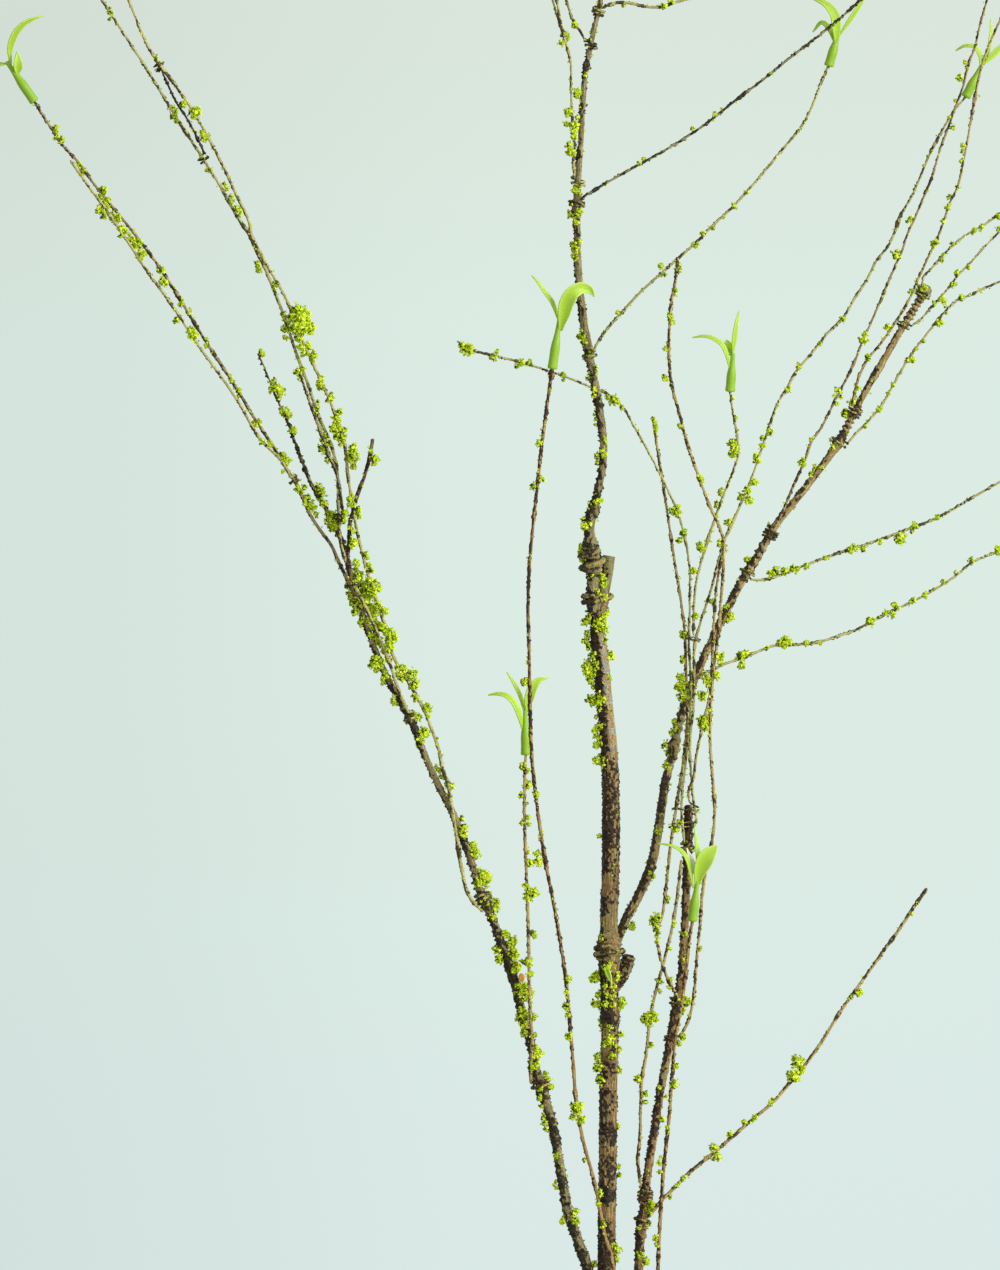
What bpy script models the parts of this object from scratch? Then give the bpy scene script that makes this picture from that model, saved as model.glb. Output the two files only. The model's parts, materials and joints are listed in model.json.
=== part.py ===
# A spray of mossy willow twigs, cut and laid down on its back: two bark-covered stems, two side
# limbs, thin twigs whose ends are coiled round what carries them, and soft green sprouts on tips.
# Metres, +Z up. The stem runs along +Y and the spray is seen best from above.
import math
import random

import bmesh
import bpy
import numpy as np
from mathutils import Vector

# The plan is the spray seen from above, drawn across to the right and down the page.
PLAN_UNIT = 0.45               # mm in one unit of the plan
PLAN_ORIGIN = (605, 1420)      # plan point over the flat spot that the cut stem rests on

STEP = 1.0                     # mm between the points of a stem's centre line while it is laid
GAP = 0.6                      # mm between a twig and what it lies over
COIL_SLIM = 0.72        # thickness of a coil, in parts of its twig
COIL_GAP = 0.40                # mm between a coil and what it grips
BUNDLE_GAP = 0.64              # the same round several stems
COIL_POINTS = 7                # points in one turn of a coil round one stem
BUNDLE_POINTS = 12             # the same round several
LIFT_REACH = 30.0              # mm over which a twig rises to pass over another
CHORD_ERROR = 0.3              # mm that the straight runs of a tube may leave its curve
BLADE_THICKNESS = 0.8          # mm, sprout leaves
SOCKET_BORE = (1.55, 5.0)      # radius and depth, mm, of the hole that takes a twig's tip
TIP_IN_SOCKET = 3.0            # mm of twig inside a socket
MOSS_LEAST = 2.2               # mm, radius of the smallest moss tuft made here
MOSS_SHY = 0.35                # mm that a tuft keeps from the neighbouring twigs

BARK = (0.20, 0.14, 0.075)
DARK_BARK = (0.085, 0.06, 0.045)
SPROUT_GREEN = (0.42, 0.72, 0.12)
SEED_ORANGE = (0.86, 0.38, 0.05)
SCALE_CREAM = (0.82, 0.84, 0.62)

# Every stem and twig, from the floor up. way: plan points from the butt to the tip. rise: height
# of the centre line in mm at even stations. girth: radius in mm at even stations. knots: plan
# row, added radius and half length in mm. foot and end: what the twig's own end is coiled round,
# the turns, and +1 where the coil climbs towards that stem's tip or -1 towards its butt.
STEMS = {
    "right_limb": dict(
        way=[(607, 975), (611, 958), (618, 940), (626, 920), (637, 900), (646, 880), (653, 860),
             (657, 840), (663, 800), (666, 780), (671, 762), (678, 730), (684, 710), (698, 671),
             (712, 641), (727, 610), (740, 585), (757, 558), (775, 527), (808, 485), (838, 444),
             (861, 400), (887, 355), (903, 327), (917, 305), (928, 285)],
        rise=(6.6, 6.8, 7.5, 9, 10, 11, 12, 12), girth=(2.15, 2.45, 2.15, 2.05, 2.05, 1.95, 1.8, 1.8),
        knots=[(747, 0.8, 4), (695, 0.4, 6), (570, 0.3, 4), (443, 0.9, 3), (288, 1.1, 3)]),
    "main_stem": dict(
        way=[(604.5, 1442), (605, 1400), (606, 1350), (606.5, 1270), (607.5, 1200), (608.5, 1100),
             (610, 1030), (609, 930), (611, 850), (610.5, 780), (608.5, 735), (605.5, 710),
             (602, 670), (598.5, 635), (598.5, 615), (601, 598), (605, 582), (609.5, 556)],
        rise=(3.6, 3.75, 8, 8, 8.2, 8.8, 9.4, 10, 10.5, 11, 11.5, 12, 12.5, 13, 13.5, 14, 15, 16, 17),
        knots=[(938, 0.4, 3), (970, 0.5, 4)],
        girth=(3.95, 3.95, 3.95, 3.95, 3.95, 3.95, 3.95, 3.9, 3.6, 3.6, 2.7)),
    "left_limb": dict(
        way=[(592, 1385), (591.5, 1340), (590, 1290), (588, 1270), (582, 1252), (577, 1238),
             (569, 1215), (565, 1195), (559, 1160), (551.5, 1120), (545, 1098), (541, 1086),
             (536, 1070), (531.5, 1045), (524, 1020), (514, 980), (500, 940), (491, 915),
             (480, 890), (471, 860), (456, 820), (438, 784), (429, 765), (410, 719), (391, 685),
             (374, 647), (361, 609), (350, 573), (342, 540), (332, 523), (326, 509), (314, 489),
             (300, 456), (292, 434), (284, 413), (275, 395), (269, 379), (258, 353)],
        rise=(6.4, 7, 8, 9, 10, 11, 12, 12, 13), knots=[(1085, 0.9, 4), (903, 0.3, 6)],
        girth=(2.25, 2.35, 2.05, 2.05, 1.85, 1.65, 1.55, 1.45, 1.15, 0.95)),
    "right_stem": dict(
        way=[(623, 1385), (625, 1340), (633, 1300), (639, 1270), (640, 1245), (642.5, 1222),
             (645, 1200), (648, 1175), (653.5, 1140), (659.5, 1100), (667, 1060), (674.6, 1020),
             (680.5, 985), (684.4, 940), (687, 885), (688, 845), (689, 805)],
        rise=(6.4, 7, 8, 9, 10, 11), girth=(1.9, 2.1, 1.8, 1.8, 1.8, 2),
        knots=[(1229, 0.5, 5), (1003, 0.5, 4)]),
    "twig_low_right": dict(
        way=[(650, 1216), (662, 1201), (675, 1188), (690, 1173), (717, 1151), (747, 1125),
             (777, 1099), (789, 1085), (806, 1065), (819, 1047), (841, 1012), (866, 977),
             (891, 942), (903, 925), (916, 905), (928, 889)],
        rise=(11, 9, 7, 5, 4), girth=(1, 0.9, 0.85, 0.85), foot=("right_stem", 1.3, -1)),
    "twig_far_right": dict(
        way=[(752, 579.5), (762, 580), (775, 577), (803, 566), (839, 553), (873, 542), (906, 530),
             (939, 517), (972, 498), (1000, 482), (1020, 470), (1042, 458)],
        rise=(12, 9, 6, 4), girth=(0.8, 0.75, 0.7), foot=("right_limb", 1.4, 1)),
    "twig_mid_right": dict(
        way=[(703, 674), (712, 670), (725, 664), (740, 659), (757, 652), (773, 646), (790, 645),
             (806, 644), (823, 641), (839, 636), (856, 630), (873, 621), (889, 613), (922, 597),
             (956, 576), (972, 563), (1000, 551), (1022, 540), (1045, 531)],
        rise=(11, 6, 3, 1.2, 0.85), girth=(0.8, 0.75, 0.7), foot=("right_limb", 1.6, -1)),
    "twig_fan_low": dict(
        way=[(848, 443), (857, 432.5), (868, 421.7), (880, 408), (895, 382.5), (910, 356.7),
             (928, 333), (942.5, 315), (958, 300), (970, 295), (982, 289), (1000, 281.7),
             (1020, 276), (1040, 272)],
        rise=(13, 10, 7, 4), girth=(0.8, 0.75, 0.65), foot=("right_limb", 1.5, -1)),
    "twig_fan_inner": dict(
        way=[(912, 326), (920, 320), (932, 306.7), (947, 290), (958, 275.8), (973, 260),
             (985, 246.7), (1000, 231.7), (1018, 216), (1036, 204)],
        rise=(13, 14, 13), girth=(0.75, 0.7, 0.65), foot=("right_limb", 1.5, -1)),
    "twig_fan_top": dict(
        way=[(922, 286), (924, 276.7), (932, 268), (948, 250), (965, 235.8), (987, 223),
             (1000, 214), (1020, 204), (1040, 197)],
        rise=(17, 19, 20), girth=(0.75, 0.7, 0.65), foot=("right_limb", 2.5, -1)),
    "twig_right_tall": dict(
        way=[(853, 402), (856.7, 385), (862, 370), (867.5, 360), (882, 342), (895, 323),
             (910, 298), (918, 280), (928, 258), (936.7, 240), (944, 221), (950, 203), (958, 186),
             (963, 163), (967.5, 141), (971, 120), (975, 98), (978, 82), (984, 58), (990, 43),
             (1000, 20), (1009, -2), (1016, -28)],
        rise=(15, 17, 20, 24, 26), girth=(0.8, 0.7, 0.7, 0.65), knots=[(97, 0.6, 2.5)],
        foot=("right_limb", 3.2, -1)),
    "twig_right_arch": dict(
        way=[(775, 527), (782, 513), (794, 485), (806, 458), (812, 441), (820, 430), (830, 411),
             (840, 391), (847, 378), (855, 361), (862, 343), (867.5, 331), (873, 318), (881, 300),
             (888, 283), (895, 267), (902, 251), (908, 233), (915, 218), (922.5, 200), (932, 177),
             (940, 150), (950, 123), (957, 103), (962, 90), (969, 63), (975, 46.7), (980, 25),
             (987, 0), (993, -25), (998, -50)],
        rise=(15, 16, 18, 20, 22), girth=(0.85, 0.75, 0.7, 0.65), foot=("right_limb", 3.2, -1)),
    "twig_left_low": dict(
        way=[(356, 598), (346, 577), (338, 560), (331, 545), (320, 530), (312, 518), (304, 501),
             (298, 487), (289, 473), (273, 446), (251, 413), (237, 389), (224, 369), (196, 326),
             (181, 301), (153, 258), (125, 222), (94, 184), (79, 163), (61, 143), (47, 122),
             (34, 101)],
        rise=(14, 10, 7, 5, 4), girth=(1.15, 1, 0.9, 0.85), foot=("left_limb", 1.6, -1)),
    "twig_left_short": dict(
        way=[(291, 477), (283, 463), (261, 440), (239, 403), (212, 364), (200, 348), (176, 311),
             (143, 265), (128, 242), (102, 204), (87, 184), (70, 160)],
        rise=(14, 12, 12, 12), girth=(0.9, 0.85, 0.85), foot=("twig_left_low", 1.5, -1)),
    "twig_left_high": dict(
        way=[(408, 712), (398, 688), (388, 658), (376, 630), (366, 608), (356, 588), (347, 565),
             (341, 545), (338.5, 511), (338, 485), (336, 465), (331, 444), (322, 424), (306, 379),
             (298, 358), (282, 311), (263, 264), (257, 252), (250, 235), (242, 224), (219, 184),
             (191, 140), (176, 117), (145, 66), (130, 43), (102, 0), (88, -22), (76, -45)],
        rise=(14, 16, 17, 18, 19, 19), girth=(1.1, 1.05, 1.05, 0.9, 0.8), knots=[(236, 0.5, 6)],
        foot=("left_limb", 1.6, -1)),
    "twig_left_wired": dict(
        way=[(482, 911), (473, 902), (466.5, 890), (463.5, 878), (460, 860), (457, 839),
             (453, 815), (450, 797), (448, 784), (442, 767), (440, 755), (433, 733), (424, 710),
             (416, 695), (407, 680), (398, 665), (390, 648), (386, 628), (380, 611), (373, 590),
             (367, 571), (361, 548), (356, 526), (351, 495), (348, 475), (346, 456), (343, 436),
             (337, 420), (331, 403), (322, 383), (306, 348), (296, 326), (290, 307), (270, 270),
             (260, 252), (252, 236), (249, 222), (237, 196), (214, 148), (189, 105), (173, 82),
             (159, 64), (148, 46), (138, 23), (129, 0), (121, -24), (115, -48)],
        rise=(9, 11, 14, 18, 20, 24, 28, 32), girth=(1.05, 1, 0.9, 0.9, 0.85, 0.75),
        knots=[(66, 0.5, 5)], foot=("left_limb", 3.4, 1)),
    "twig_left_splice": dict(
        way=[(344, 522), (341, 497), (338, 478), (332, 462), (326, 448), (320, 430), (312, 409),
             (306, 391), (300, 374)],
        rise=(22, 22, 22), girth=(0.95, 0.95, 0.8), foot=("twig_left_high", 1.5, 1)),
    "twig_left_bridge": dict(
        way=[(204, 152), (196, 135), (189, 122), (176, 102), (167, 82), (161, 69)],
        rise=(25, 28, 31), girth=(0.95, 0.9, 0.9), foot=("twig_left_high", 1.5, -1),
        end=("twig_left_wired", 1.5, 1)),
    "twig_dark_stub": dict(
        way=[(351, 580), (348, 560), (349, 542), (350, 524), (354, 507), (359, 491), (365, 475),
             (370, 456), (373, 439)],
        rise=(22, 26, 30), girth=(1.2, 1.25, 1.2),
        foot=("left_limb twig_left_low twig_left_high", 1.5, -1)),
    "twig_bud": dict(
        way=[(531, 1083), (530.5, 1068), (532, 1050), (532.5, 1040), (531, 1020), (529.5, 990),
             (529, 960), (527.5, 900), (526, 860), (525, 830), (524.5, 800), (525, 775),
             (525.7, 755)],
        rise=(9, 14, 18, 20, 22), girth=(0.95, 1, 0.95, 0.9), foot=("left_limb", 1.6, -1)),
    "twig_right_pale": dict(
        way=[(641, 1186), (639, 1172), (638, 1158), (640, 1140), (641, 1100), (642, 1080),
             (646, 1057), (650.2, 1020), (654, 1000), (664.7, 960), (673.8, 920), (677, 900),
             (680, 875), (681.5, 860)],
        rise=(9, 9, 10, 12, 12), girth=(0.95, 0.95, 0.95, 0.85), foot=("right_stem", 3.2, -1)),
    "twig_crossing": dict(
        way=[(678, 998), (668.5, 980), (661.2, 960), (657.5, 940), (658.5, 927), (662.5, 915),
             (664.5, 900), (667, 880), (671.5, 840), (677.5, 800), (683.5, 760), (687.3, 720),
             (687, 700), (686, 670), (685.4, 640), (681, 600), (674.6, 560), (668.5, 520),
             (662.5, 480), (658, 452), (652.7, 416)],
        rise=(14, 15, 15, 16, 17, 18, 19), girth=(0.85, 0.9, 0.85, 0.8),
        foot=("right_stem", 1.5, -1)),
    "twig_long_left": dict(
        way=[(684.5, 842), (682, 817), (682, 795), (685.5, 765), (688, 740), (690.5, 710),
             (691, 690), (689, 640), (690, 600), (689, 560), (685.4, 540), (677, 510), (665, 484),
             (655, 464), (634, 426), (624, 409), (614, 399), (604, 392), (593, 388), (579, 382),
             (546, 370), (512, 360), (475, 351), (458, 346)],
        rise=(14, 16, 18, 20, 21, 21, 20), girth=(0.85, 0.8, 0.75, 0.7, 0.8),
        foot=("right_stem", 2.2, -1)),
    "twig_fan_stem": dict(
        way=[(697, 822), (694.7, 808), (691.7, 780), (690, 755), (690.5, 735), (693.5, 710),
             (694, 680), (695.8, 640), (701.3, 620), (711, 590), (719, 560), (724, 542),
             (731, 526), (742.5, 500), (751, 480), (762, 448), (767.5, 432), (772.5, 417),
             (778, 403), (787, 388), (798, 369), (812, 353), (828, 333), (843, 318), (855, 298),
             (867, 280), (877, 260), (887, 248), (895, 232), (901, 215), (911, 198), (920, 178),
             (931, 152), (940, 135), (949, 119), (957, 107), (966, 96.7)],
        rise=(15, 19, 22, 24, 22, 18, 14, 11), girth=(0.85, 0.85, 0.8, 0.7),
        knots=[(525, 0.5, 4), (222, 0.6, 4)], foot=("right_stem twig_long_left twig_crossing", 1.5, -1)),
    "twig_node": dict(
        way=[(693.5, 636), (694, 605), (696.7, 580), (701.7, 560), (709, 536), (714.6, 520),
             (721.5, 500), (733, 471), (738, 455), (737.5, 440), (733, 414), (729.7, 392)],
        rise=(25, 30, 36, 42), girth=(0.8, 0.8, 0.75), knots=[(538, 0.5, 5)],
        foot=("twig_fan_stem twig_long_left twig_crossing", 1.5, -1)),
    "twig_tied": dict(
        way=[(689, 801), (689, 790), (693, 780), (696, 758), (699.6, 740), (703.5, 720),
             (708.8, 700), (711, 680), (712.8, 650), (714, 620), (716.3, 590), (719.2, 570),
             (723, 550)],
        rise=(15, 19, 24, 27), girth=(0.85, 0.85, 0.8),
        foot=("right_stem twig_long_left twig_crossing twig_fan_stem", 1.3, -1),
        end=("twig_fan_stem", 1.5, 1)),
    "upper_stem": dict(
        way=[(594, 612), (593, 595), (593, 575), (592, 560), (590, 538), (590, 520), (594, 508),
             (598, 490), (603, 465), (603.5, 445), (601, 420), (596, 390), (590, 360),
             (583.5, 320), (579, 280), (577.5, 245), (577, 205), (578, 180), (580.5, 145),
             (583, 100), (586, 70), (590, 50), (594, 30), (597.5, 15), (601, 0), (605, -30),
             (608, -70), (610, -105)],
        rise=(24.5, 30, 35, 38, 40, 41, 42), knots=[(512, 0.9, 4), (346, 0.4, 4), (205, 0.5, 6)],
        girth=(2.85, 2.85, 2, 1.95, 1.95, 1.9, 1.75, 1.75, 1.65, 1.55, 1.45, 1.2)),
    "twig_arch": dict(
        way=[(593, 351), (600, 339), (610, 326), (620, 315), (640, 293), (660, 275), (677, 260),
             (700, 239), (710, 228.5), (733, 207), (746, 193), (770, 165), (790, 141), (802, 126),
             (809, 113), (816, 96), (822, 80), (828, 67.5)],
        rise=(42, 44, 46, 47), girth=(0.75, 0.7, 0.65), foot=("upper_stem", 1.8, -1)),
    "twig_slant": dict(
        way=[(583, 198), (600, 187.5), (640, 165), (660, 154), (700, 129), (740, 98), (760, 83),
             (790, 59), (820, 36), (844, 16), (861, 0), (882, -22), (900, -45)],
        rise=(44, 52, 60, 66), girth=(0.75, 0.7, 0.65), foot=("upper_stem", 2.2, -1)),
    "twig_beside": dict(
        way=[(574, 178), (573.5, 160), (575, 147), (573, 133), (572, 115), (571, 90), (570, 60),
             (566, 45), (561, 30), (556, 13), (552, 0), (546, -22), (541, -45)],
        rise=(45, 45, 46, 47), girth=(0.85, 0.8, 0.7), foot=("upper_stem", 1.8, -1),
        fork=[(568, 52), (564, 38), (560, 20), (556.5, 0), (552, -24)]),
    "twig_top_left": dict(
        way=[(584, 40), (580, 32), (575, 26), (571.5, 18), (566, 0), (562, -20)],
        rise=(46, 48, 50), girth=(0.75, 0.7, 0.65), foot=("upper_stem", 1.8, -1)),
    "twig_top_right": dict(
        way=[(606, 7), (617, 4), (630, 4.5), (650, 8.5), (662, 8), (672, 4.5), (690, 0),
             (715, -8), (745, -15), (775, -24)],
        rise=(46, 49, 51), girth=(0.85, 0.75, 0.65), foot=("upper_stem", 2.4, -1)),
    "twig_dark_tall": dict(
        way=[(680, 1036), (687, 1025), (691.5, 1010), (694.5, 990), (697, 960), (700.6, 920),
             (702.5, 895), (707, 866), (712, 842), (714.5, 820), (714.5, 800), (711.5, 765),
             (710, 735), (711, 705), (713.5, 670), (718, 635), (721, 598), (723.3, 565),
             (723, 540), (718, 524), (711, 510), (704, 492), (696, 470), (689, 450), (679, 414),
             (670.6, 380), (668.7, 361), (668.7, 339), (671.6, 299), (675.6, 278), (677, 258)],
        rise=(13, 17, 22, 28, 34, 42, 50, 54), girth=(0.9, 0.85, 0.85, 0.9),
        foot=("right_stem", 1.5, -1)),
    "twig_front_right": dict(
        way=[(618, 1392), (622, 1365), (638, 1325), (650, 1295), (658, 1268), (658.7, 1250),
             (661, 1210), (664.5, 1160), (669, 1120), (672, 1080), (675.3, 1040), (682.3, 1000),
             (687.2, 960), (689.4, 940), (692.2, 921)],
        rise=(13, 15, 18, 22, 27, 31), girth=(1, 1, 0.9, 0.9)),
    "twig_front": dict(
        way=[(608, 1385), (611, 1330), (614, 1270), (611, 1255), (606, 1240), (602, 1220),
             (594, 1180), (583, 1140), (576, 1100), (573, 1060), (569.5, 1020), (566, 980),
             (560, 940), (553, 900), (545, 860), (539, 820), (534, 780), (531, 740), (530, 700),
             (529, 650), (528, 600), (530, 558), (533, 526), (538, 480), (542, 444), (549, 391),
             (552, 370)],
        rise=(14, 18, 30, 42, 54, 62, 66, 68), girth=(1, 1, 0.95, 0.95, 0.9),
        knots=[(375, 0.6, 1.5)]),
}

# Short cut branches that stand on a stem: plan points with height, and radii in mm.
STUBS = {
    "main_stem": dict(way=[(611, 994, 11), (621, 977, 12), (630, 956, 13.5)],
                      girth=(1.6, 2.4, 2.6)),
    "right_limb": dict(way=[(672, 762, 9), (674.5, 750, 10.5), (676.5, 741, 11.5)],
                       girth=(1.8, 2.4, 2.5)),
}

# Loose bindings round several stems: plan row, turns, radius of the strand in mm.
BINDINGS = {
    "base_binding": dict(round=("main_stem", "left_limb", "right_stem", "twig_front",
                                "twig_front_right"), row=1340, turns=2.6, girth=1.1),
    "knot_binding": dict(round=("main_stem", "right_limb"), row=955, turns=1.6, girth=1.15),
    "stem_binding": dict(round=("upper_stem", "main_stem"), row=604, turns=1.6, girth=1.1),
    "upper_band": dict(round=("upper_stem",), row=571, turns=1.7, girth=1.5, pitch=5.6),
}

# Sprouts pushed on twig tips. neck: plan point of the fork. leaves: plan points with height
# over the twig's tip in mm, the blade's width in mm and its turn about its own length in degrees.
SPROUTS = {
    "sprout_left": dict(on="twig_left_low", neck=(6.7, 61.7), leaves=[
        ([(10, 64, 0), (9, 48, 2), (14, 33, 4), (23, 23, 5), (33, 18, 5), (43, 15, 4)], 3.6, 35),
        ([(17, 74, 0), (17, 62, 2.5), (16.5, 51, 3)], 4.4, 20),
        ([(6.7, 63, 0), (-2, 64, -1), (-12, 67, -2.1), (-20, 74, -2.9)], 3.2, 55)]),
    "sprout_bud": dict(on="twig_bud", neck=(525.2, 712), leaves=[
        ([(522.5, 729, 0), (519, 716, 2), (514, 704, 3), (506, 696, 3), (497, 694, 2),
          (488, 695, 0.5)], 4.2, 50),
        ([(524.5, 713, 0), (521, 700, -2), (515, 686, -4), (507, 672, -6)], 3.4, 60),
        ([(526.5, 712, 0), (529, 698, 1), (533, 687, 2), (539, 680, 2), (548, 678, 1)], 4.6, 10)]),
    "sprout_front_right": dict(on="twig_front_right", neck=(697, 882), leaves=[
        ([(693, 888, 0), (690, 873, 2), (687, 861, 3), (681, 851, 3.5), (672, 846, 3),
          (658, 843, 1)], 3.2, 60),
        ([(697.5, 880, 0), (698, 862, -1), (696.5, 844, -2), (694.5, 828, -3)], 3.2, 45),
        ([(696.5, 886, 0), (702, 868, 2), (707, 856, 4.5), (712, 847, 5)], 8.0, 0)]),
    "sprout_node": dict(on="twig_node", neck=(732.5, 355), leaves=[
        ([(729.5, 369, 0), (726, 356, 1.5), (721.5, 346, 2), (714, 340, 2), (704, 337, 1.5),
          (692, 338, 0)], 3.2, 55),
        ([(732.5, 355, 0), (733.2, 340, 1), (735.5, 325, 2), (738.5, 312, 2)], 3.2, 50),
        ([(730, 356, 0), (728, 347, -3), (726, 340, -6)], 4.6, 5)]),
    "sprout_front": dict(on="twig_front", neck=(559, 322), leaves=[
        ([(560, 332, 0), (563, 317, 3), (566, 304, 5), (572, 294, 6), (582, 289, 4),
          (589, 291, 1), (594, 298, -3)], 6.8, 10),
        ([(558.5, 322, 0), (551, 303, 1), (544, 293, 1), (538, 284, 1), (531.5, 276.5, 0)],
         3.2, 55)]),
    "sprout_arch": dict(on="twig_arch", neck=(838, 33), leaves=[
        ([(835, 46, 0), (835, 30, 2), (832.5, 15, 3), (825, 6, 3), (812, 0, 1)], 5.0, 30),
        ([(833, 42, 0), (828, 30, -2), (822, 24, -3), (812, 33, -5)], 3.2, 45),
        ([(839, 36, 0), (848, 22, 0), (860, 4, 0), (868, -9, 0)], 3.0, 50)]),
    "sprout_fan": dict(on="twig_fan_stem", neck=(981.5, 66), leaves=[
        ([(981, 66, 0), (980, 55, 0), (975, 47, 0.5), (966, 45.5, 0.5), (956, 50, -0.5)],
         3.2, 55),
        ([(983, 64, 0), (988, 50, -1), (991, 34, -2), (991.7, 18, -3)], 3.0, 60),
        ([(984, 64, 0), (993, 54, -1), (1002, 45, -2), (1014, 37, -4)], 3.4, 40)]),
}

# Moss tufts on each stem: plan point and radius in plan units.
MOSS = {
    "main_stem": [(587, 673, 7), (607, 971, 7), (609, 1041, 8), (600, 1068, 8)],
    "left_limb": [(534, 1065, 7), (525, 990, 8), (513, 955, 7), (483, 876, 8), (474, 852, 7),
        (375, 661, 7), (376, 640, 7), (337, 520, 8)],
    "twig_low_right": [(795, 1076, 9)],
    "twig_far_right": [(901, 538, 8)],
    "twig_mid_right": [(742, 656, 7), (783, 643, 8)],
    "twig_right_arch": [(863, 340, 7), (897, 255, 7)],
    "twig_left_low": [(136, 243, 8)],
    "twig_left_high": [(321, 449, 7)],
    "twig_left_wired": [(411, 675, 7), (391, 637, 8), (352, 457, 8), (300, 315, 11)],
    "twig_bud": [(532, 893, 8)],
    "twig_front": [(577, 1107, 9)],
    "twig_right_pale": [(648, 1019, 9)],
    "twig_crossing": [(656, 920, 8), (682, 686, 8), (683, 698, 7)],
    "twig_long_left": [(466, 349, 8)],
    "twig_node": [(735, 449, 7)],
    "twig_tied": [(705, 722, 8)],
    "twig_beside": [(574, 127, 7)],
}

THICK = {"main_stem": 9, "upper_stem": 9, "right_limb": 7, "left_limb": 7, "right_stem": 7}


def plan(point):
    """A plan point in mm, in the spray's own frame."""
    return np.array([(point[0] - PLAN_ORIGIN[0]) * PLAN_UNIT,
                     (PLAN_ORIGIN[1] - point[1]) * PLAN_UNIT, *point[2:]], float)


def curve_through(points):
    """A smooth curve through the points, in rows about one step apart."""
    points = np.array(points, float)
    chord = np.linalg.norm(np.diff(points, axis=0), axis=1)
    slope = np.diff(points, axis=0) / chord[:, None]
    inner = ((slope[:-1] * chord[1:, None] + slope[1:] * chord[:-1, None])
             / (chord[:-1] + chord[1:])[:, None])
    tangent = np.vstack([slope[:1], inner, slope[-1:]])
    rows = []
    for i, length in enumerate(chord):
        t = np.linspace(0, 1, max(2, math.ceil(length / STEP) + 1))[:-1, None]
        rows.append((2 * t**3 - 3 * t**2 + 1) * points[i] + (3 * t**2 - 2 * t**3) * points[i + 1]
                    + ((t**3 - 2 * t**2 + t) * tangent[i]
                       + (t**3 - t**2) * tangent[i + 1]) * length)
    return np.vstack([*rows, points[-1:]])


def along(path):
    """Distance of every row from the first."""
    return np.concatenate([[0], np.cumsum(np.linalg.norm(np.diff(path, axis=0), axis=1))])


def at_stations(values, path):
    """Values given at even stations, spread over the path's rows."""
    way = along(path)
    return np.interp(way / way[-1], np.linspace(0, 1, len(values)), values)


def lay_over(path, girth, laid):
    """Lift a strand smoothly where it would touch one that already lies there."""
    way = along(path)
    for _ in range(6):
        lift = np.zeros(len(path))
        for other, other_girth in laid:
            low = np.minimum(path.min(axis=0), path.max(axis=0)) - 8
            near = ((other[:, :2] > low[:2]) & (other[:, :2] < path.max(axis=0)[:2] + 8)).all(axis=1)
            if not near.any():
                continue
            points, radius = other[near], other_girth[near]
            reach = girth[:, None] + radius[None] + GAP
            flat = np.hypot(path[:, None, 0] - points[None, :, 0],
                            path[:, None, 1] - points[None, :, 1])
            room = np.sqrt(np.maximum(reach**2 - flat**2, 0))
            rise = points[None, :, 2] + room - path[:, None, 2]
            touching = (flat < reach) & (rise > 0) & (rise < 2 * room)
            lift = np.maximum(lift, np.where(touching, rise, 0).max(axis=1))
        if lift.max() < 0.03:
            break
        raised = np.nonzero(lift > 0)[0]
        apart = np.minimum(np.abs(way[:, None] - way[None, raised]) / LIFT_REACH, 1)
        path[:, 2] += (lift[raised] * np.cos(apart * math.pi / 2)**2).max(axis=1) + 0.02
    return path


def frame_at(path, index):
    """Unit vectors along a path, across it to its left, and up from it."""
    low, high = max(index - 2, 0), min(index + 2, len(path) - 1)
    forward = path[high] - path[low]
    forward /= np.linalg.norm(forward)
    across = np.cross([0, 0, 1.0], forward)
    across /= np.linalg.norm(across)
    return forward, across, np.cross(forward, across)


def ring_point(hosts, index, angle, girth, points=COIL_POINTS):
    """The point at an angle on a loop drawn tight round one or more stems."""
    path, radius = hosts[0]
    forward, across, up = frame_at(path, index)
    away = math.cos(angle) * across + math.sin(angle) * up
    best = None
    for host, host_girth in hosts:
        offset = host - path[index]
        slice_row = int(np.argmin(np.abs(offset @ forward) + 0.05 * np.linalg.norm(offset, axis=1)))
        centre = host[slice_row] - (offset[slice_row] @ forward) * forward
        size = host_girth[slice_row] + girth + (COIL_GAP if len(hosts) == 1 else BUNDLE_GAP)
        support = (centre - path[index]) @ away + size
        if best is None or support > best[0]:
            best = (support, centre + away * size / math.cos(math.pi / points))
    return best[1]


def coil(hosts, first, heading, turns, climb, girth):
    """A twig's end wound round its hosts, from the twig's own first point outwards."""
    path, radius = hosts[0]
    start = int(np.argmin(np.linalg.norm(path[:, :2] - first[:2], axis=1)))
    forward, across, _ = frame_at(path, start)
    size = radius[start] + girth + COIL_GAP
    side = float(np.clip((first - path[start])[:2] @ across[:2] / size, -1, 1))
    left = heading[:2] @ across[:2] > 0
    points = COIL_POINTS if len(hosts) == 1 else BUNDLE_POINTS
    pitch = 2 * girth + 0.35
    rows = []
    for i in range(1, round(turns * points) + 1):
        turn = i / points
        spread = min(turn, 0.5) * 2.2 * pitch + max(turn - 0.5, 0) * pitch
        index = int(np.clip(start + round(climb * spread / STEP), 0, len(path) - 1))
        angle = math.acos(side) + (-1 if not left else 1) * 2 * math.pi * turn * -1
        rows.append(ring_point(hosts, index, angle, girth, points))
    return np.array(rows)


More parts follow.
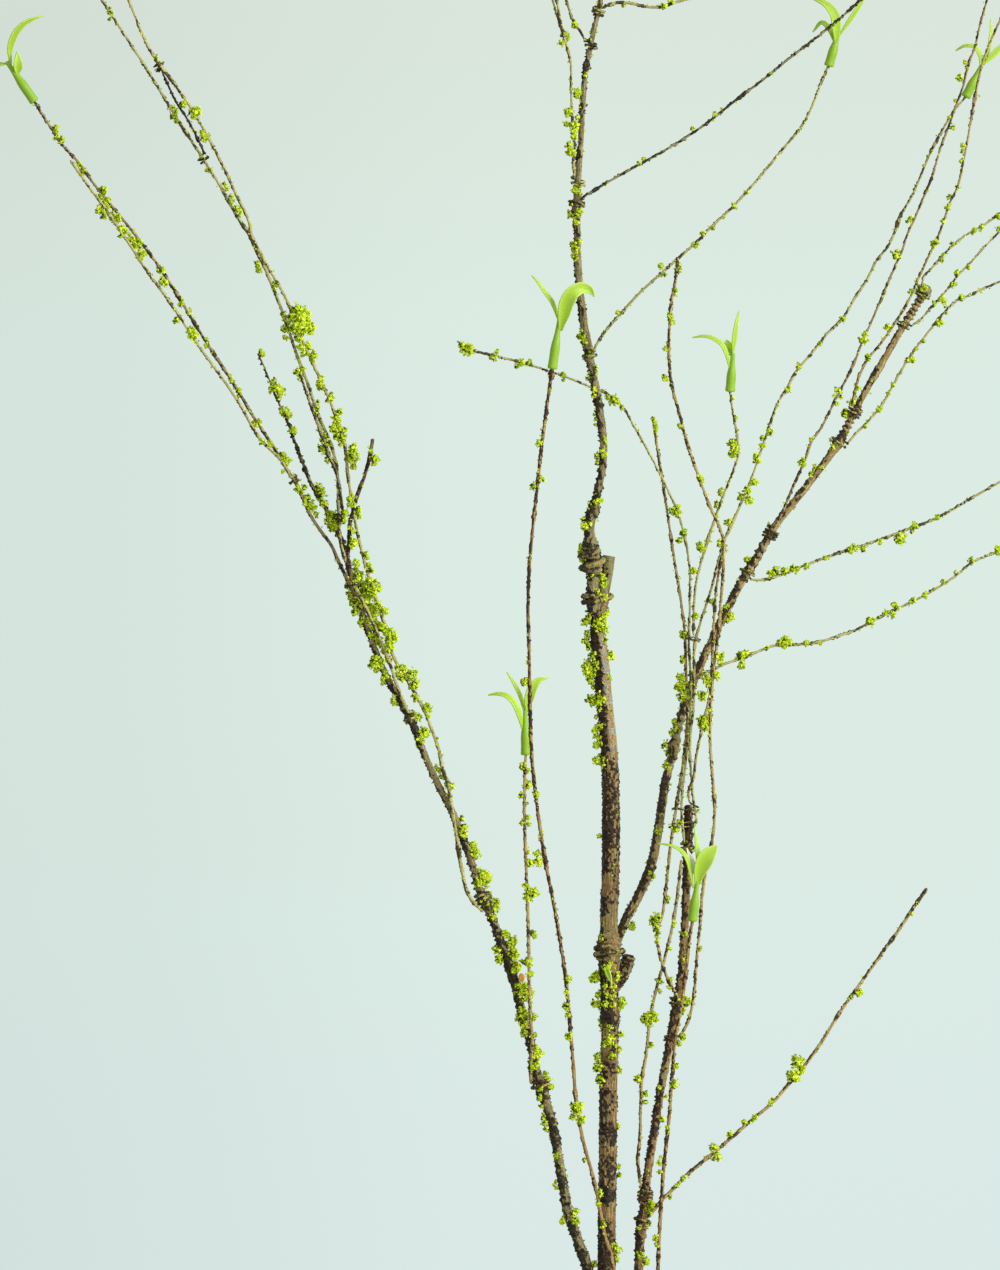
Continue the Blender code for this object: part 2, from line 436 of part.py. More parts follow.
def lay_all():
    """Centre line and radii of every strand, laid one over the other from the floor up."""
    strands = {}
    for name, spec in STEMS.items():
        path = curve_through([plan(point) for point in spec["way"]])
        path = np.column_stack([path, at_stations(spec["rise"], path)])
        girth = at_stations(spec["girth"], path)
        for row, added, half in spec.get("knots", ()):
            height = plan((0, row))[1]
            girth = girth + added * np.exp(-((path[:, 1] - height) / half)**2)
        path = lay_over(path, girth, list(strands.values()))
        for key in ("foot", "end"):
            if key not in spec:
                continue
            around, turns, climb = spec[key]
            hosts = [strands[host] for host in around.split()]
            ends = path if key == "foot" else path[::-1]
            tail = slice(0, 6) if key == "foot" else slice(-1, -7, -1)
            radius = COIL_SLIM * girth[tail][0]
            girth[tail] = np.linspace(radius, girth[tail][-1], 6)
            wound = coil(hosts, ends[0], ends[6] - ends[0], turns, climb, radius)
            path = np.vstack([wound[::-1], path] if key == "foot" else [path, wound])
            more = np.full(len(wound), radius)
            girth = np.concatenate([more, girth] if key == "foot" else [girth, more])
        strands[name] = (path, girth)
    points = BUNDLE_POINTS
    for name, spec in BINDINGS.items():
        hosts = [strands[host] for host in spec["round"]]
        height = plan((0, spec["row"]))[1]
        index = int(np.argmin(np.abs(hosts[0][0][:, 1] - height)))
        pitch = spec.get("pitch", 2 * spec["girth"] + 0.4)
        rows = []
        for i in range(round(spec["turns"] * points) + 1):
            turn = i / points
            rows.append(ring_point(hosts, index + round(turn * pitch / STEP),
                                   math.radians(250) + 2 * math.pi * turn, spec["girth"], points))
        strands[name] = (np.array(rows), np.full(len(rows), spec["girth"]))
    return strands


def straighten(path, girth):
    """Keep only the rows that the curve needs."""
    keep = {0, len(path) - 1}
    spans = [(0, len(path) - 1)]
    while spans:
        low, high = spans.pop()
        if high - low < 2:
            continue
        chord = path[high] - path[low]
        share = np.clip((path[low:high] - path[low]) @ chord / max(chord @ chord, 1e-9), 0, 1)
        miss = np.linalg.norm(path[low:high] - path[low] - share[:, None] * chord, axis=1)
        miss += 0.7 * np.abs(girth[low:high] - girth[low] - share * (girth[high] - girth[low]))
        worst = low + int(np.argmax(miss))
        if miss.max() > CHORD_ERROR:
            keep.add(worst)
            spans += [(low, worst), (worst, high)]
    rows = sorted(keep)
    return path[rows], girth[rows]


def new_collection(name):
    collection = bpy.data.collections.new(name)
    bpy.context.scene.collection.children.link(collection)
    return collection


def add_object(name, mesh, collection):
    thing = bpy.data.objects.new(name, mesh)
    collection.objects.link(thing)
    return thing


def tube(name, path, girth, sides, collection):
    """A capped tube on a poly curve, turned into a closed mesh."""
    profile = bpy.data.curves.new(name + "_profile", "CURVE")
    ring = profile.splines.new("POLY")
    ring.points.add(sides - 1)
    for i, point in enumerate(ring.points):
        angle = 2 * math.pi * i / sides
        point.co = (0.001 * math.cos(angle), 0.001 * math.sin(angle), 0, 1)
    ring.use_cyclic_u = True
    section = add_object(name + "_profile", profile, collection)

    line = bpy.data.curves.new(name, "CURVE")
    line.dimensions = "3D"
    line.bevel_mode = "OBJECT"
    line.bevel_object = section
    line.use_fill_caps = True
    spline = line.splines.new("POLY")
    spline.points.add(len(path) - 1)
    for point, place, radius in zip(spline.points, path, girth):
        point.co = (*(place * 0.001), 1)
        point.radius = radius
    rod = add_object(name, line, collection)

    bpy.context.view_layer.update()
    mesh = bpy.data.meshes.new_from_object(rod.evaluated_get(
        bpy.context.evaluated_depsgraph_get()))
    weld = bmesh.new()
    weld.from_mesh(mesh)
    bmesh.ops.remove_doubles(weld, verts=weld.verts, dist=1e-6)
    bmesh.ops.recalc_face_normals(weld, faces=weld.faces)
    weld.to_mesh(mesh)
    weld.free()
    mesh.name = name
    for thing in (rod, section):
        bpy.data.objects.remove(thing)
    mesh.shade_smooth()
    mesh.set_sharp_from_angle(angle=math.radians(50))
    return add_object(name, mesh, collection)


def join_all(body, pieces, scratch):
    """Fuse pieces into a body with one union, then drop them."""
    if not pieces:
        return
    for piece in pieces:
        for owner in list(piece.users_collection):
            owner.objects.unlink(piece)
        scratch.objects.link(piece)
        piece.hide_render = True
        piece.display_type = "WIRE"
    union = body.modifiers.new("union", "BOOLEAN")
    union.operation = "UNION"
    union.operand_type = "COLLECTION"
    union.collection = scratch
    union.solver = "EXACT"
    bpy.context.view_layer.update()
    mesh = bpy.data.meshes.new_from_object(body.evaluated_get(
        bpy.context.evaluated_depsgraph_get()))
    body.modifiers.remove(union)
    body.data = mesh
    for piece in list(scratch.objects):
        bpy.data.objects.remove(piece)


def moss_tufts(name, strands, collection, draw):
    """Few-sided tufts sunk in a stem, clear of the twigs beside it."""
    path, girth = strands[name]
    others = [value for key, value in strands.items() if key != name]
    tufts = []
    for across, down, size in MOSS.get(name, ()):
        place = plan((across, down))
        row = int(np.argmin(np.linalg.norm(path[:, :2] - place, axis=1)))
        offset = place - path[row, :2]
        far = np.linalg.norm(offset)
        radius = size * PLAN_UNIT * draw.uniform(0.85, 1.0)
        side = min(far, girth[row] + 0.45 * radius)
        flat = offset / max(far, 1e-6) * side
        up = math.sqrt(max(girth[row]**2 - side**2, 0)) + draw.uniform(-0.2, 0.3) * radius
        centre = path[row] + np.array([*flat, up])
        for other, other_girth in others:
            room = (np.linalg.norm(other - centre, axis=1) - other_girth).min() - MOSS_SHY
            radius = min(radius, room / 1.12)
        if radius < 0.5 * MOSS_LEAST or np.linalg.norm(centre - path[row]) > girth[row] + 0.6 * radius:
            continue
        if centre[2] - 1.12 * radius < 0.2:
            continue
        ball = bmesh.new()
        bmesh.ops.create_icosphere(ball, subdivisions=1, radius=radius * 0.001)
        for vertex in ball.verts:
            vertex.co *= draw.uniform(0.78, 1.12)
            vertex.co += Vector(centre) * 0.001
        mesh = bpy.data.meshes.new("tuft")
        ball.to_mesh(mesh)
        ball.free()
        tufts.append(add_object("tuft", mesh, collection))
    return tufts


def finish(thing, slot, color, roughness):
    material = bpy.data.materials.new(slot)
    material.use_nodes = True
    shader = material.node_tree.nodes["Principled BSDF"]
    shader.inputs["Base Color"].default_value = (*color, 1)
    shader.inputs["Roughness"].default_value = roughness
    shader.inputs["Metallic"].default_value = 0
    thing.data.materials.clear()
    thing.data.materials.append(material)


def make_stem(name, strands, collection, scratch, draw):
    path, girth = strands[name]
    spec = STEMS.get(name, {})
    sides = THICK.get(name, 5)
    if name in sprout_carriers():
        tip = path[-1] + TIP_IN_SOCKET * sprout_axis(name, path)
        path, girth = np.vstack([path, tip]), np.append(girth, min(girth[-1], 0.95))
    body = tube(name, *straighten(path, girth), sides, collection)
    pieces = moss_tufts(name, strands, collection, draw)
    if name in STUBS:
        way = np.array([plan(point) for point in STUBS[name]["way"]])
        pieces.append(tube("stub", way, np.array(STUBS[name]["girth"]), sides, collection))
    if "fork" in spec:
        prong = curve_through([plan(point) for point in spec["fork"]])
        root = int(np.argmin(np.linalg.norm(path[:, :2] - prong[0], axis=1)))
        level = path[root, 2] + np.linspace(0, 4, len(prong))
        prong = np.column_stack([prong, level])
        radii = np.full(len(prong), girth[root] * 0.85)
        pieces.append(tube("fork", *straighten(prong, radii), sides, collection))
    join_all(body, pieces, scratch)
    finish(body, name + "_bark", DARK_BARK if "dark" in name else BARK, 0.85)
    return body


def cut_flat_spot(stem):
    """Plane off the underside of the cut stem where it lies on the surface."""
    shape = bmesh.new()
    shape.from_mesh(stem.data)
    everything = shape.verts[:] + shape.edges[:] + shape.faces[:]
    cut = bmesh.ops.bisect_plane(shape, geom=everything, dist=1e-7, plane_co=(0, 0, 0),
                                 plane_no=(0, 0, -1), clear_outer=True)
    rim = [edge for edge in cut["geom_cut"] if isinstance(edge, bmesh.types.BMEdge)]
    bmesh.ops.holes_fill(shape, edges=rim)
    bmesh.ops.recalc_face_normals(shape, faces=shape.faces)
    shape.to_mesh(stem.data)
    shape.free()


def sprout_carriers():
    return {spec["on"]: name for name, spec in SPROUTS.items()}


def sprout_axis(stem, path):
    """Direction from a twig's tip to the fork of its sprout."""
    neck = plan(SPROUTS[sprout_carriers()[stem]]["neck"])
    way = np.append(neck - path[-1, :2], 0.0)
    slope = (path[-1, 2] - path[-8, 2]) / max(np.linalg.norm(path[-1] - path[-8]), 1e-6)
    way[2] = np.linalg.norm(way) * float(np.clip(slope, -0.1, 0.1))
    return way / np.linalg.norm(way)


def blade(name, points, width, turn, collection):
    """A pointed leaf: a grid bent along its midrib, cupped, and given its thickness."""
    midrib = curve_through(points)
    rows = 6
    bpy.ops.mesh.primitive_grid_add(x_subdivisions=2, y_subdivisions=rows - 1, size=1)
    leaf = bpy.context.object
    leaf.name = name
    for owner in list(leaf.users_collection):
        owner.objects.unlink(leaf)
    collection.objects.link(leaf)
    for vertex in leaf.data.vertices:
        share = vertex.co.y + 0.5
        side = vertex.co.x * 2
        index = share * (len(midrib) - 1)
        low = min(int(index), len(midrib) - 2)
        centre = midrib[low] + (midrib[low + 1] - midrib[low]) * (index - low)
        forward = midrib[min(low + 3, len(midrib) - 1)] - midrib[max(low - 2, 0)]
        forward /= np.linalg.norm(forward)
        across = np.cross([0, 0, 1.0], forward)
        across /= np.linalg.norm(across)
        up = np.cross(forward, across)
        tilt = math.radians(turn)
        wide = math.cos(tilt) * across + math.sin(tilt) * up
        cup = -math.sin(tilt) * across + math.cos(tilt) * up
        half = width / 2 * (0.30 + 0.70 * math.sin(math.pi * min(share * 1.25, 0.5)) ** 1.5
                            if share < 0.4 else math.cos((share - 0.4) / 0.6 * math.pi / 2) ** 0.8)
        half = max(half, 0.45)
        place = centre + wide * side * half + cup * abs(side) * half * 0.35
        vertex.co = Vector(place) * 0.001
    thick = leaf.modifiers.new("thickness", "SOLIDIFY")
    thick.thickness = BLADE_THICKNESS * 0.001
    thick.offset = 0
    bpy.context.view_layer.update()
    mesh = bpy.data.meshes.new_from_object(leaf.evaluated_get(
        bpy.context.evaluated_depsgraph_get()))
    leaf.modifiers.clear()
    leaf.data = mesh
    return leaf


def make_sprout(name, strands, collection, scratch):
    """A socket pushed on the twig's tip, its neck, and the leaves at the fork."""
    spec = SPROUTS[name]
    path, _ = strands[spec["on"]]
    axis = sprout_axis(spec["on"], path)
    foot = path[-1]
    length = np.linalg.norm(plan(spec["neck"]) - foot[:2])
    profile = [(2.15, 0.0), (2.3, 0.5), (2.2, 1.2), (2.15, length * 0.4), (1.6, length * 0.62),
               (1.15, length * 0.8), (0.95, length + 0.6)]
    places = np.array([foot + axis * along_axis for _, along_axis in profile])
    body = tube(name, places, np.array([radius for radius, _ in profile]), 7, collection)
    leaves = []
    for points, width, turn in spec["leaves"]:
        way = [np.append(plan(point[:2]), foot[2] + axis[2] * length + point[2])
               for point in points]
        way[0][2] = foot[2] + axis[2] * length * 0.8
        leaves.append(blade(name + "_leaf", way, width, turn, collection))
    join_all(body, leaves, scratch)
    bore_radius, bore_depth = SOCKET_BORE
    ends = np.array([foot - axis, foot + axis * bore_depth])
    cutter = tube("bore", ends, np.array([bore_radius] * 2), 8, scratch)
    cutter.hide_render = True
    cutter.display_type = "WIRE"
    cut = body.modifiers.new("bore", "BOOLEAN")
    cut.operation = "DIFFERENCE"
    cut.object = cutter
    cut.solver = "EXACT"
    bpy.context.view_layer.update()
    mesh = bpy.data.meshes.new_from_object(body.evaluated_get(
        bpy.context.evaluated_depsgraph_get()))
    body.modifiers.remove(cut)
    body.data = mesh
    bpy.data.objects.remove(cutter)
    finish(body, name + "_leaf", SPROUT_GREEN, 0.4)


def make_seed(strands, collection):
    """A round seed held between the left limb and the bud twig."""
    path, girth = strands["left_limb"]
    place = plan((521, 978))
    row = int(np.argmin(np.linalg.norm(path[:, :2] - place, axis=1)))
    radius = 1.6
    away = np.array([*(place - path[row, :2]), 1.2])
    away /= np.linalg.norm(away)
    centre = path[row] + away * (girth[row] + radius + 0.4)
    ball = bmesh.new()
    bmesh.ops.create_uvsphere(ball, u_segments=10, v_segments=6, radius=radius * 0.001)
    bmesh.ops.translate(ball, verts=ball.verts, vec=Vector(centre) * 0.001)
    mesh = bpy.data.meshes.new("seed_bead")
    ball.to_mesh(mesh)
    ball.free()
    seed = add_object("seed_bead", mesh, collection)
    finish(seed, "seed_bead_skin", SEED_ORANGE, 0.35)


def make_bud_scale(strands, collection):
    """A pale scale that stands behind the left leaf of the front right sprout."""
    path, _ = strands["twig_front_right"]
    level = path[-1, 2]
    points = [np.append(plan(point), level + rise)
              for point, rise in (((695, 880), -0.4), ((689.5, 861), -0.9), ((684.5, 850), -1.0))]
    scale = blade("bud_scale", points, 2.2, 10, collection)
    finish(scale, "bud_scale_skin", SCALE_CREAM, 0.5)


def main():
    for thing in list(bpy.data.objects):
        bpy.data.objects.remove(thing)
    collection = new_collection("willow_twig")
    scratch = new_collection("willow_twig_cutters")
    draw = random.Random(7)
    strands = lay_all()
    for name in strands:
        stem = make_stem(name, strands, collection, scratch, draw)
        if name == "main_stem":
            cut_flat_spot(stem)
    for name in SPROUTS:
        make_sprout(name, strands, collection, scratch)
    make_seed(strands, collection)
    make_bud_scale(strands, collection)


main()
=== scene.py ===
import json
import math
import random

import bpy
import numpy as np
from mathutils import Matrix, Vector, kdtree, noise

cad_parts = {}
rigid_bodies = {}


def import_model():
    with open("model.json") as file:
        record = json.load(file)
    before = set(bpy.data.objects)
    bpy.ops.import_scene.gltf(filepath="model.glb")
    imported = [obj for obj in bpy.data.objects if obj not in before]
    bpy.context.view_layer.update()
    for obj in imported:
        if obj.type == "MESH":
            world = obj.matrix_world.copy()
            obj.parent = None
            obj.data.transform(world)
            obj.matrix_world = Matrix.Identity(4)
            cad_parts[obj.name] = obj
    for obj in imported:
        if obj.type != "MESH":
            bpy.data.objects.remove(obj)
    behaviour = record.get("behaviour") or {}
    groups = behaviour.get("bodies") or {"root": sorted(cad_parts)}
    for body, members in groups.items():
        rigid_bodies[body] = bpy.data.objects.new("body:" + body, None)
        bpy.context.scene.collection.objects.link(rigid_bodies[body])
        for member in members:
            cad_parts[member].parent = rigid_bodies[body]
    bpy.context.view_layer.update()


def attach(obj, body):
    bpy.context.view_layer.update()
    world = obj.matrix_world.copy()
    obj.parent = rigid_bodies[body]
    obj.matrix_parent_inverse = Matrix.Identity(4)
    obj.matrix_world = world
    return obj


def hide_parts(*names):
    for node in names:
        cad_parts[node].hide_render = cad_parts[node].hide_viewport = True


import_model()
bpy.ops.object.select_all(action="DESELECT")

planUnit = 0.45          # mm in one unit of the plan, which is the spray seen from above
planOrigin = (605, 1420)  # plan point at the origin, over the spot that the cut stem rests on
stepLength = 1.0         # mm between points while the stems are laid
layGap = 0.6             # mm between a twig and what it lies over
coilSlim = 0.72          # thickness of a coil, in parts of its twig
coilGap = 0.34           # mm between a coil and the stem that it grips
bundleGap = 0.55         # the same round several stems
coilPoints = 16          # points in one turn of a coil
liftReach = 30.0         # mm over which a twig rises to pass over another
tipInSocket = 3.0        # mm of a twig's tip inside its sprout

# Every stem and twig, from the floor up. way: plan points from the butt to the tip. rise: height
# of the centre line in mm at even stations. girth: radius in mm at even stations. knots: plan
# row, added radius and half length in mm. foot and end: what the twig's own end is coiled round,
# the turns, and +1 where the coil climbs towards that stem's tip or -1 towards its butt.
stemPlan = {
    "right_limb": dict(
        way=[(607, 975), (611, 958), (618, 940), (626, 920), (637, 900), (646, 880), (653, 860),
             (657, 840), (663, 800), (666, 780), (671, 762), (678, 730), (684, 710), (698, 671),
             (712, 641), (727, 610), (740, 585), (757, 558), (775, 527), (808, 485), (838, 444),
             (861, 400), (887, 355), (903, 327), (917, 305), (928, 285)],
        rise=(6.6, 6.8, 7.5, 9, 10, 11, 12, 12),
        girth=(2.15, 2.45, 2.15, 2.05, 2.05, 1.95, 1.8, 1.8),
        knots=[(747, 0.8, 4), (695, 0.4, 6), (570, 0.3, 4), (443, 0.9, 3), (288, 1.1, 3)]),
    "main_stem": dict(
        way=[(604.5, 1442), (605, 1400), (606, 1350), (606.5, 1270), (607.5, 1200), (608.5, 1100),
             (610, 1030), (609, 930), (611, 850), (610.5, 780), (608.5, 735), (605.5, 710),
             (602, 670), (598.5, 635), (598.5, 615), (601, 598), (605, 582), (609.5, 556)],
        rise=(3.6, 3.75, 8, 8, 8.2, 8.8, 9.4, 10, 10.5, 11, 11.5, 12, 12.5, 13, 13.5, 14, 15,
              16, 17),
        knots=[(938, 0.4, 3), (970, 0.5, 4)],
        girth=(3.95, 3.95, 3.95, 3.95, 3.95, 3.95, 3.95, 3.9, 3.6, 3.6, 2.7)),
    "left_limb": dict(
        way=[(592, 1385), (591.5, 1340), (590, 1290), (588, 1270), (582, 1252), (577, 1238),
             (569, 1215), (565, 1195), (559, 1160), (551.5, 1120), (545, 1098), (541, 1086),
             (536, 1070), (531.5, 1045), (524, 1020), (514, 980), (500, 940), (491, 915),
             (480, 890), (471, 860), (456, 820), (438, 784), (429, 765), (410, 719), (391, 685),
             (374, 647), (361, 609), (350, 573), (342, 540), (332, 523), (326, 509), (314, 489),
             (300, 456), (292, 434), (284, 413), (275, 395), (269, 379), (258, 353)],
        rise=(6.4, 7, 8, 9, 10, 11, 12, 12, 13), knots=[(1085, 0.9, 4), (903, 0.3, 6)],
        girth=(2.25, 2.35, 2.05, 2.05, 1.85, 1.65, 1.55, 1.45, 1.15, 0.95)),
    "right_stem": dict(
        way=[(623, 1385), (625, 1340), (633, 1300), (639, 1270), (640, 1245), (642.5, 1222),
             (645, 1200), (648, 1175), (653.5, 1140), (659.5, 1100), (667, 1060), (674.6, 1020),
             (680.5, 985), (684.4, 940), (687, 885), (688, 845), (689, 805)],
        rise=(6.4, 7, 8, 9, 10, 11), girth=(1.9, 2.1, 1.8, 1.8, 1.8, 2),
        knots=[(1229, 0.5, 5), (1003, 0.5, 4)]),
    "twig_low_right": dict(
        way=[(650, 1216), (662, 1201), (675, 1188), (690, 1173), (717, 1151), (747, 1125),
             (777, 1099), (789, 1085), (806, 1065), (819, 1047), (841, 1012), (866, 977),
             (891, 942), (903, 925), (916, 905), (928, 889)],
        rise=(11, 9, 7, 5, 4), girth=(1, 0.9, 0.85, 0.85), foot=("right_stem", 1.3, -1)),
    "twig_far_right": dict(
        way=[(752, 579.5), (762, 580), (775, 577), (803, 566), (839, 553), (873, 542), (906, 530),
             (939, 517), (972, 498), (1000, 482), (1020, 470), (1042, 458)],
        rise=(12, 9, 6, 4), girth=(0.8, 0.75, 0.7), foot=("right_limb", 1.4, 1)),
    "twig_mid_right": dict(
        way=[(703, 674), (712, 670), (725, 664), (740, 659), (757, 652), (773, 646), (790, 645),
             (806, 644), (823, 641), (839, 636), (856, 630), (873, 621), (889, 613), (922, 597),
             (956, 576), (972, 563), (1000, 551), (1022, 540), (1045, 531)],
        rise=(11, 6, 3, 1.2, 0.85), girth=(0.8, 0.75, 0.7), foot=("right_limb", 1.6, -1)),
    "twig_fan_low": dict(
        way=[(848, 443), (857, 432.5), (868, 421.7), (880, 408), (895, 382.5), (910, 356.7),
             (928, 333), (942.5, 315), (958, 300), (970, 295), (982, 289), (1000, 281.7),
             (1020, 276), (1040, 272)],
        rise=(13, 10, 7, 4), girth=(0.8, 0.75, 0.65), foot=("right_limb", 1.5, -1)),
    "twig_fan_inner": dict(
        way=[(912, 326), (920, 320), (932, 306.7), (947, 290), (958, 275.8), (973, 260),
             (985, 246.7), (1000, 231.7), (1018, 216), (1036, 204)],
        rise=(13, 14, 13), girth=(0.75, 0.7, 0.65), foot=("right_limb", 1.5, -1)),
    "twig_fan_top": dict(
        way=[(922, 286), (924, 276.7), (932, 268), (948, 250), (965, 235.8), (987, 223),
             (1000, 214), (1020, 204), (1040, 197)],
        rise=(17, 19, 20), girth=(0.75, 0.7, 0.65), foot=("right_limb", 2.5, -1)),
    "twig_right_tall": dict(
        way=[(853, 402), (856.7, 385), (862, 370), (867.5, 360), (882, 342), (895, 323),
             (910, 298), (918, 280), (928, 258), (936.7, 240), (944, 221), (950, 203), (958, 186),
             (963, 163), (967.5, 141), (971, 120), (975, 98), (978, 82), (984, 58), (990, 43),
             (1000, 20), (1009, -2), (1016, -28)],
        rise=(15, 17, 20, 24, 26), girth=(0.8, 0.7, 0.7, 0.65), knots=[(97, 0.6, 2.5)],
        foot=("right_limb", 3.2, -1)),
    "twig_right_arch": dict(
        way=[(775, 527), (782, 513), (794, 485), (806, 458), (812, 441), (820, 430), (830, 411),
             (840, 391), (847, 378), (855, 361), (862, 343), (867.5, 331), (873, 318), (881, 300),
             (888, 283), (895, 267), (902, 251), (908, 233), (915, 218), (922.5, 200), (932, 177),
             (940, 150), (950, 123), (957, 103), (962, 90), (969, 63), (975, 46.7), (980, 25),
             (987, 0), (993, -25), (998, -50)],
        rise=(15, 16, 18, 20, 22), girth=(0.85, 0.75, 0.7, 0.65), foot=("right_limb", 3.2, -1)),
    "twig_left_low": dict(
        way=[(356, 598), (346, 577), (338, 560), (331, 545), (320, 530), (312, 518), (304, 501),
             (298, 487), (289, 473), (273, 446), (251, 413), (237, 389), (224, 369), (196, 326),
             (181, 301), (153, 258), (125, 222), (94, 184), (79, 163), (61, 143), (47, 122),
             (34, 101)],
        rise=(14, 10, 7, 5, 4), girth=(1.15, 1, 0.9, 0.85), foot=("left_limb", 1.6, -1)),
    "twig_left_short": dict(
        way=[(291, 477), (283, 463), (261, 440), (239, 403), (212, 364), (200, 348), (176, 311),
             (143, 265), (128, 242), (102, 204), (87, 184), (70, 160)],
        rise=(14, 12, 12, 12), girth=(0.9, 0.85, 0.85), foot=("twig_left_low", 1.5, -1)),
    "twig_left_high": dict(
        way=[(408, 712), (398, 688), (388, 658), (376, 630), (366, 608), (356, 588), (347, 565),
             (341, 545), (338.5, 511), (338, 485), (336, 465), (331, 444), (322, 424), (306, 379),
             (298, 358), (282, 311), (263, 264), (257, 252), (250, 235), (242, 224), (219, 184),
             (191, 140), (176, 117), (145, 66), (130, 43), (102, 0), (88, -22), (76, -45)],
        rise=(14, 16, 17, 18, 19, 19), girth=(1.1, 1.05, 1.05, 0.9, 0.8), knots=[(236, 0.5, 6)],
        foot=("left_limb", 1.6, -1)),
    "twig_left_wired": dict(
        way=[(482, 911), (473, 902), (466.5, 890), (463.5, 878), (460, 860), (457, 839),
             (453, 815), (450, 797), (448, 784), (442, 767), (440, 755), (433, 733), (424, 710),
             (416, 695), (407, 680), (398, 665), (390, 648), (386, 628), (380, 611), (373, 590),
             (367, 571), (361, 548), (356, 526), (351, 495), (348, 475), (346, 456), (343, 436),
             (337, 420), (331, 403), (322, 383), (306, 348), (296, 326), (290, 307), (270, 270),
             (260, 252), (252, 236), (249, 222), (237, 196), (214, 148), (189, 105), (173, 82),
             (159, 64), (148, 46), (138, 23), (129, 0), (121, -24), (115, -48)],
        rise=(9, 11, 14, 18, 20, 24, 28, 32), girth=(1.05, 1, 0.9, 0.9, 0.85, 0.75),
        knots=[(66, 0.5, 5)], foot=("left_limb", 3.4, 1)),
    "twig_left_splice": dict(
        way=[(344, 522), (341, 497), (338, 478), (332, 462), (326, 448), (320, 430), (312, 409),
             (306, 391), (300, 374)],
        rise=(22, 22, 22), girth=(0.95, 0.95, 0.8), foot=("twig_left_high", 1.5, 1)),
    "twig_left_bridge": dict(
        way=[(204, 152), (196, 135), (189, 122), (176, 102), (167, 82), (161, 69)],
        rise=(25, 28, 31), girth=(0.95, 0.9, 0.9), foot=("twig_left_high", 1.5, -1),
        end=("twig_left_wired", 1.5, 1)),
    "twig_dark_stub": dict(
        way=[(351, 580), (348, 560), (349, 542), (350, 524), (354, 507), (359, 491), (365, 475),
             (370, 456), (373, 439)],
        rise=(22, 26, 30), girth=(1.2, 1.25, 1.2),
        foot=("left_limb twig_left_low twig_left_high", 1.5, -1)),
    "twig_bud": dict(
        way=[(531, 1083), (530.5, 1068), (532, 1050), (532.5, 1040), (531, 1020), (529.5, 990),
             (529, 960), (527.5, 900), (526, 860), (525, 830), (524.5, 800), (525, 775),
             (525.7, 755)],
        rise=(9, 14, 18, 20, 22), girth=(0.95, 1, 0.95, 0.9), foot=("left_limb", 1.6, -1)),
    "twig_right_pale": dict(
        way=[(641, 1186), (639, 1172), (638, 1158), (640, 1140), (641, 1100), (642, 1080),
             (646, 1057), (650.2, 1020), (654, 1000), (664.7, 960), (673.8, 920), (677, 900),
             (680, 875), (681.5, 860)],
        rise=(9, 9, 10, 12, 12), girth=(0.95, 0.95, 0.95, 0.85), foot=("right_stem", 3.2, -1)),
    "twig_crossing": dict(
        way=[(678, 998), (668.5, 980), (661.2, 960), (657.5, 940), (658.5, 927), (662.5, 915),
             (664.5, 900), (667, 880), (671.5, 840), (677.5, 800), (683.5, 760), (687.3, 720),
             (687, 700), (686, 670), (685.4, 640), (681, 600), (674.6, 560), (668.5, 520),
             (662.5, 480), (658, 452), (652.7, 416)],
        rise=(14, 15, 15, 16, 17, 18, 19), girth=(0.85, 0.9, 0.85, 0.8),
        foot=("right_stem", 1.5, -1)),
    "twig_long_left": dict(
        way=[(684.5, 842), (682, 817), (682, 795), (685.5, 765), (688, 740), (690.5, 710),
             (691, 690), (689, 640), (690, 600), (689, 560), (685.4, 540), (677, 510), (665, 484),
             (655, 464), (634, 426), (624, 409), (614, 399), (604, 392), (593, 388), (579, 382),
             (546, 370), (512, 360), (475, 351), (458, 346)],
        rise=(14, 16, 18, 20, 21, 21, 20), girth=(0.85, 0.8, 0.75, 0.7, 0.8),
        foot=("right_stem", 2.2, -1)),
    "twig_fan_stem": dict(
        way=[(697, 822), (694.7, 808), (691.7, 780), (690, 755), (690.5, 735), (693.5, 710),
             (694, 680), (695.8, 640), (701.3, 620), (711, 590), (719, 560), (724, 542),
             (731, 526), (742.5, 500), (751, 480), (762, 448), (767.5, 432), (772.5, 417),
             (778, 403), (787, 388), (798, 369), (812, 353), (828, 333), (843, 318), (855, 298),
             (867, 280), (877, 260), (887, 248), (895, 232), (901, 215), (911, 198), (920, 178),
             (931, 152), (940, 135), (949, 119), (957, 107), (966, 96.7)],
        rise=(15, 19, 22, 24, 22, 18, 14, 11), girth=(0.85, 0.85, 0.8, 0.7),
        knots=[(525, 0.5, 4), (222, 0.6, 4)],
        foot=("right_stem twig_long_left twig_crossing", 1.5, -1)),
    "twig_node": dict(
        way=[(693.5, 636), (694, 605), (696.7, 580), (701.7, 560), (709, 536), (714.6, 520),
             (721.5, 500), (733, 471), (738, 455), (737.5, 440), (733, 414), (729.7, 392)],
        rise=(25, 30, 36, 42), girth=(0.8, 0.8, 0.75), knots=[(538, 0.5, 5)],
        foot=("twig_fan_stem twig_long_left twig_crossing", 1.5, -1)),
    "twig_tied": dict(
        way=[(689, 801), (689, 790), (693, 780), (696, 758), (699.6, 740), (703.5, 720),
             (708.8, 700), (711, 680), (712.8, 650), (714, 620), (716.3, 590), (719.2, 570),
             (723, 550)],
        rise=(15, 19, 24, 27), girth=(0.85, 0.85, 0.8),
        foot=("right_stem twig_long_left twig_crossing twig_fan_stem", 1.3, -1),
        end=("twig_fan_stem", 1.5, 1)),
    "upper_stem": dict(
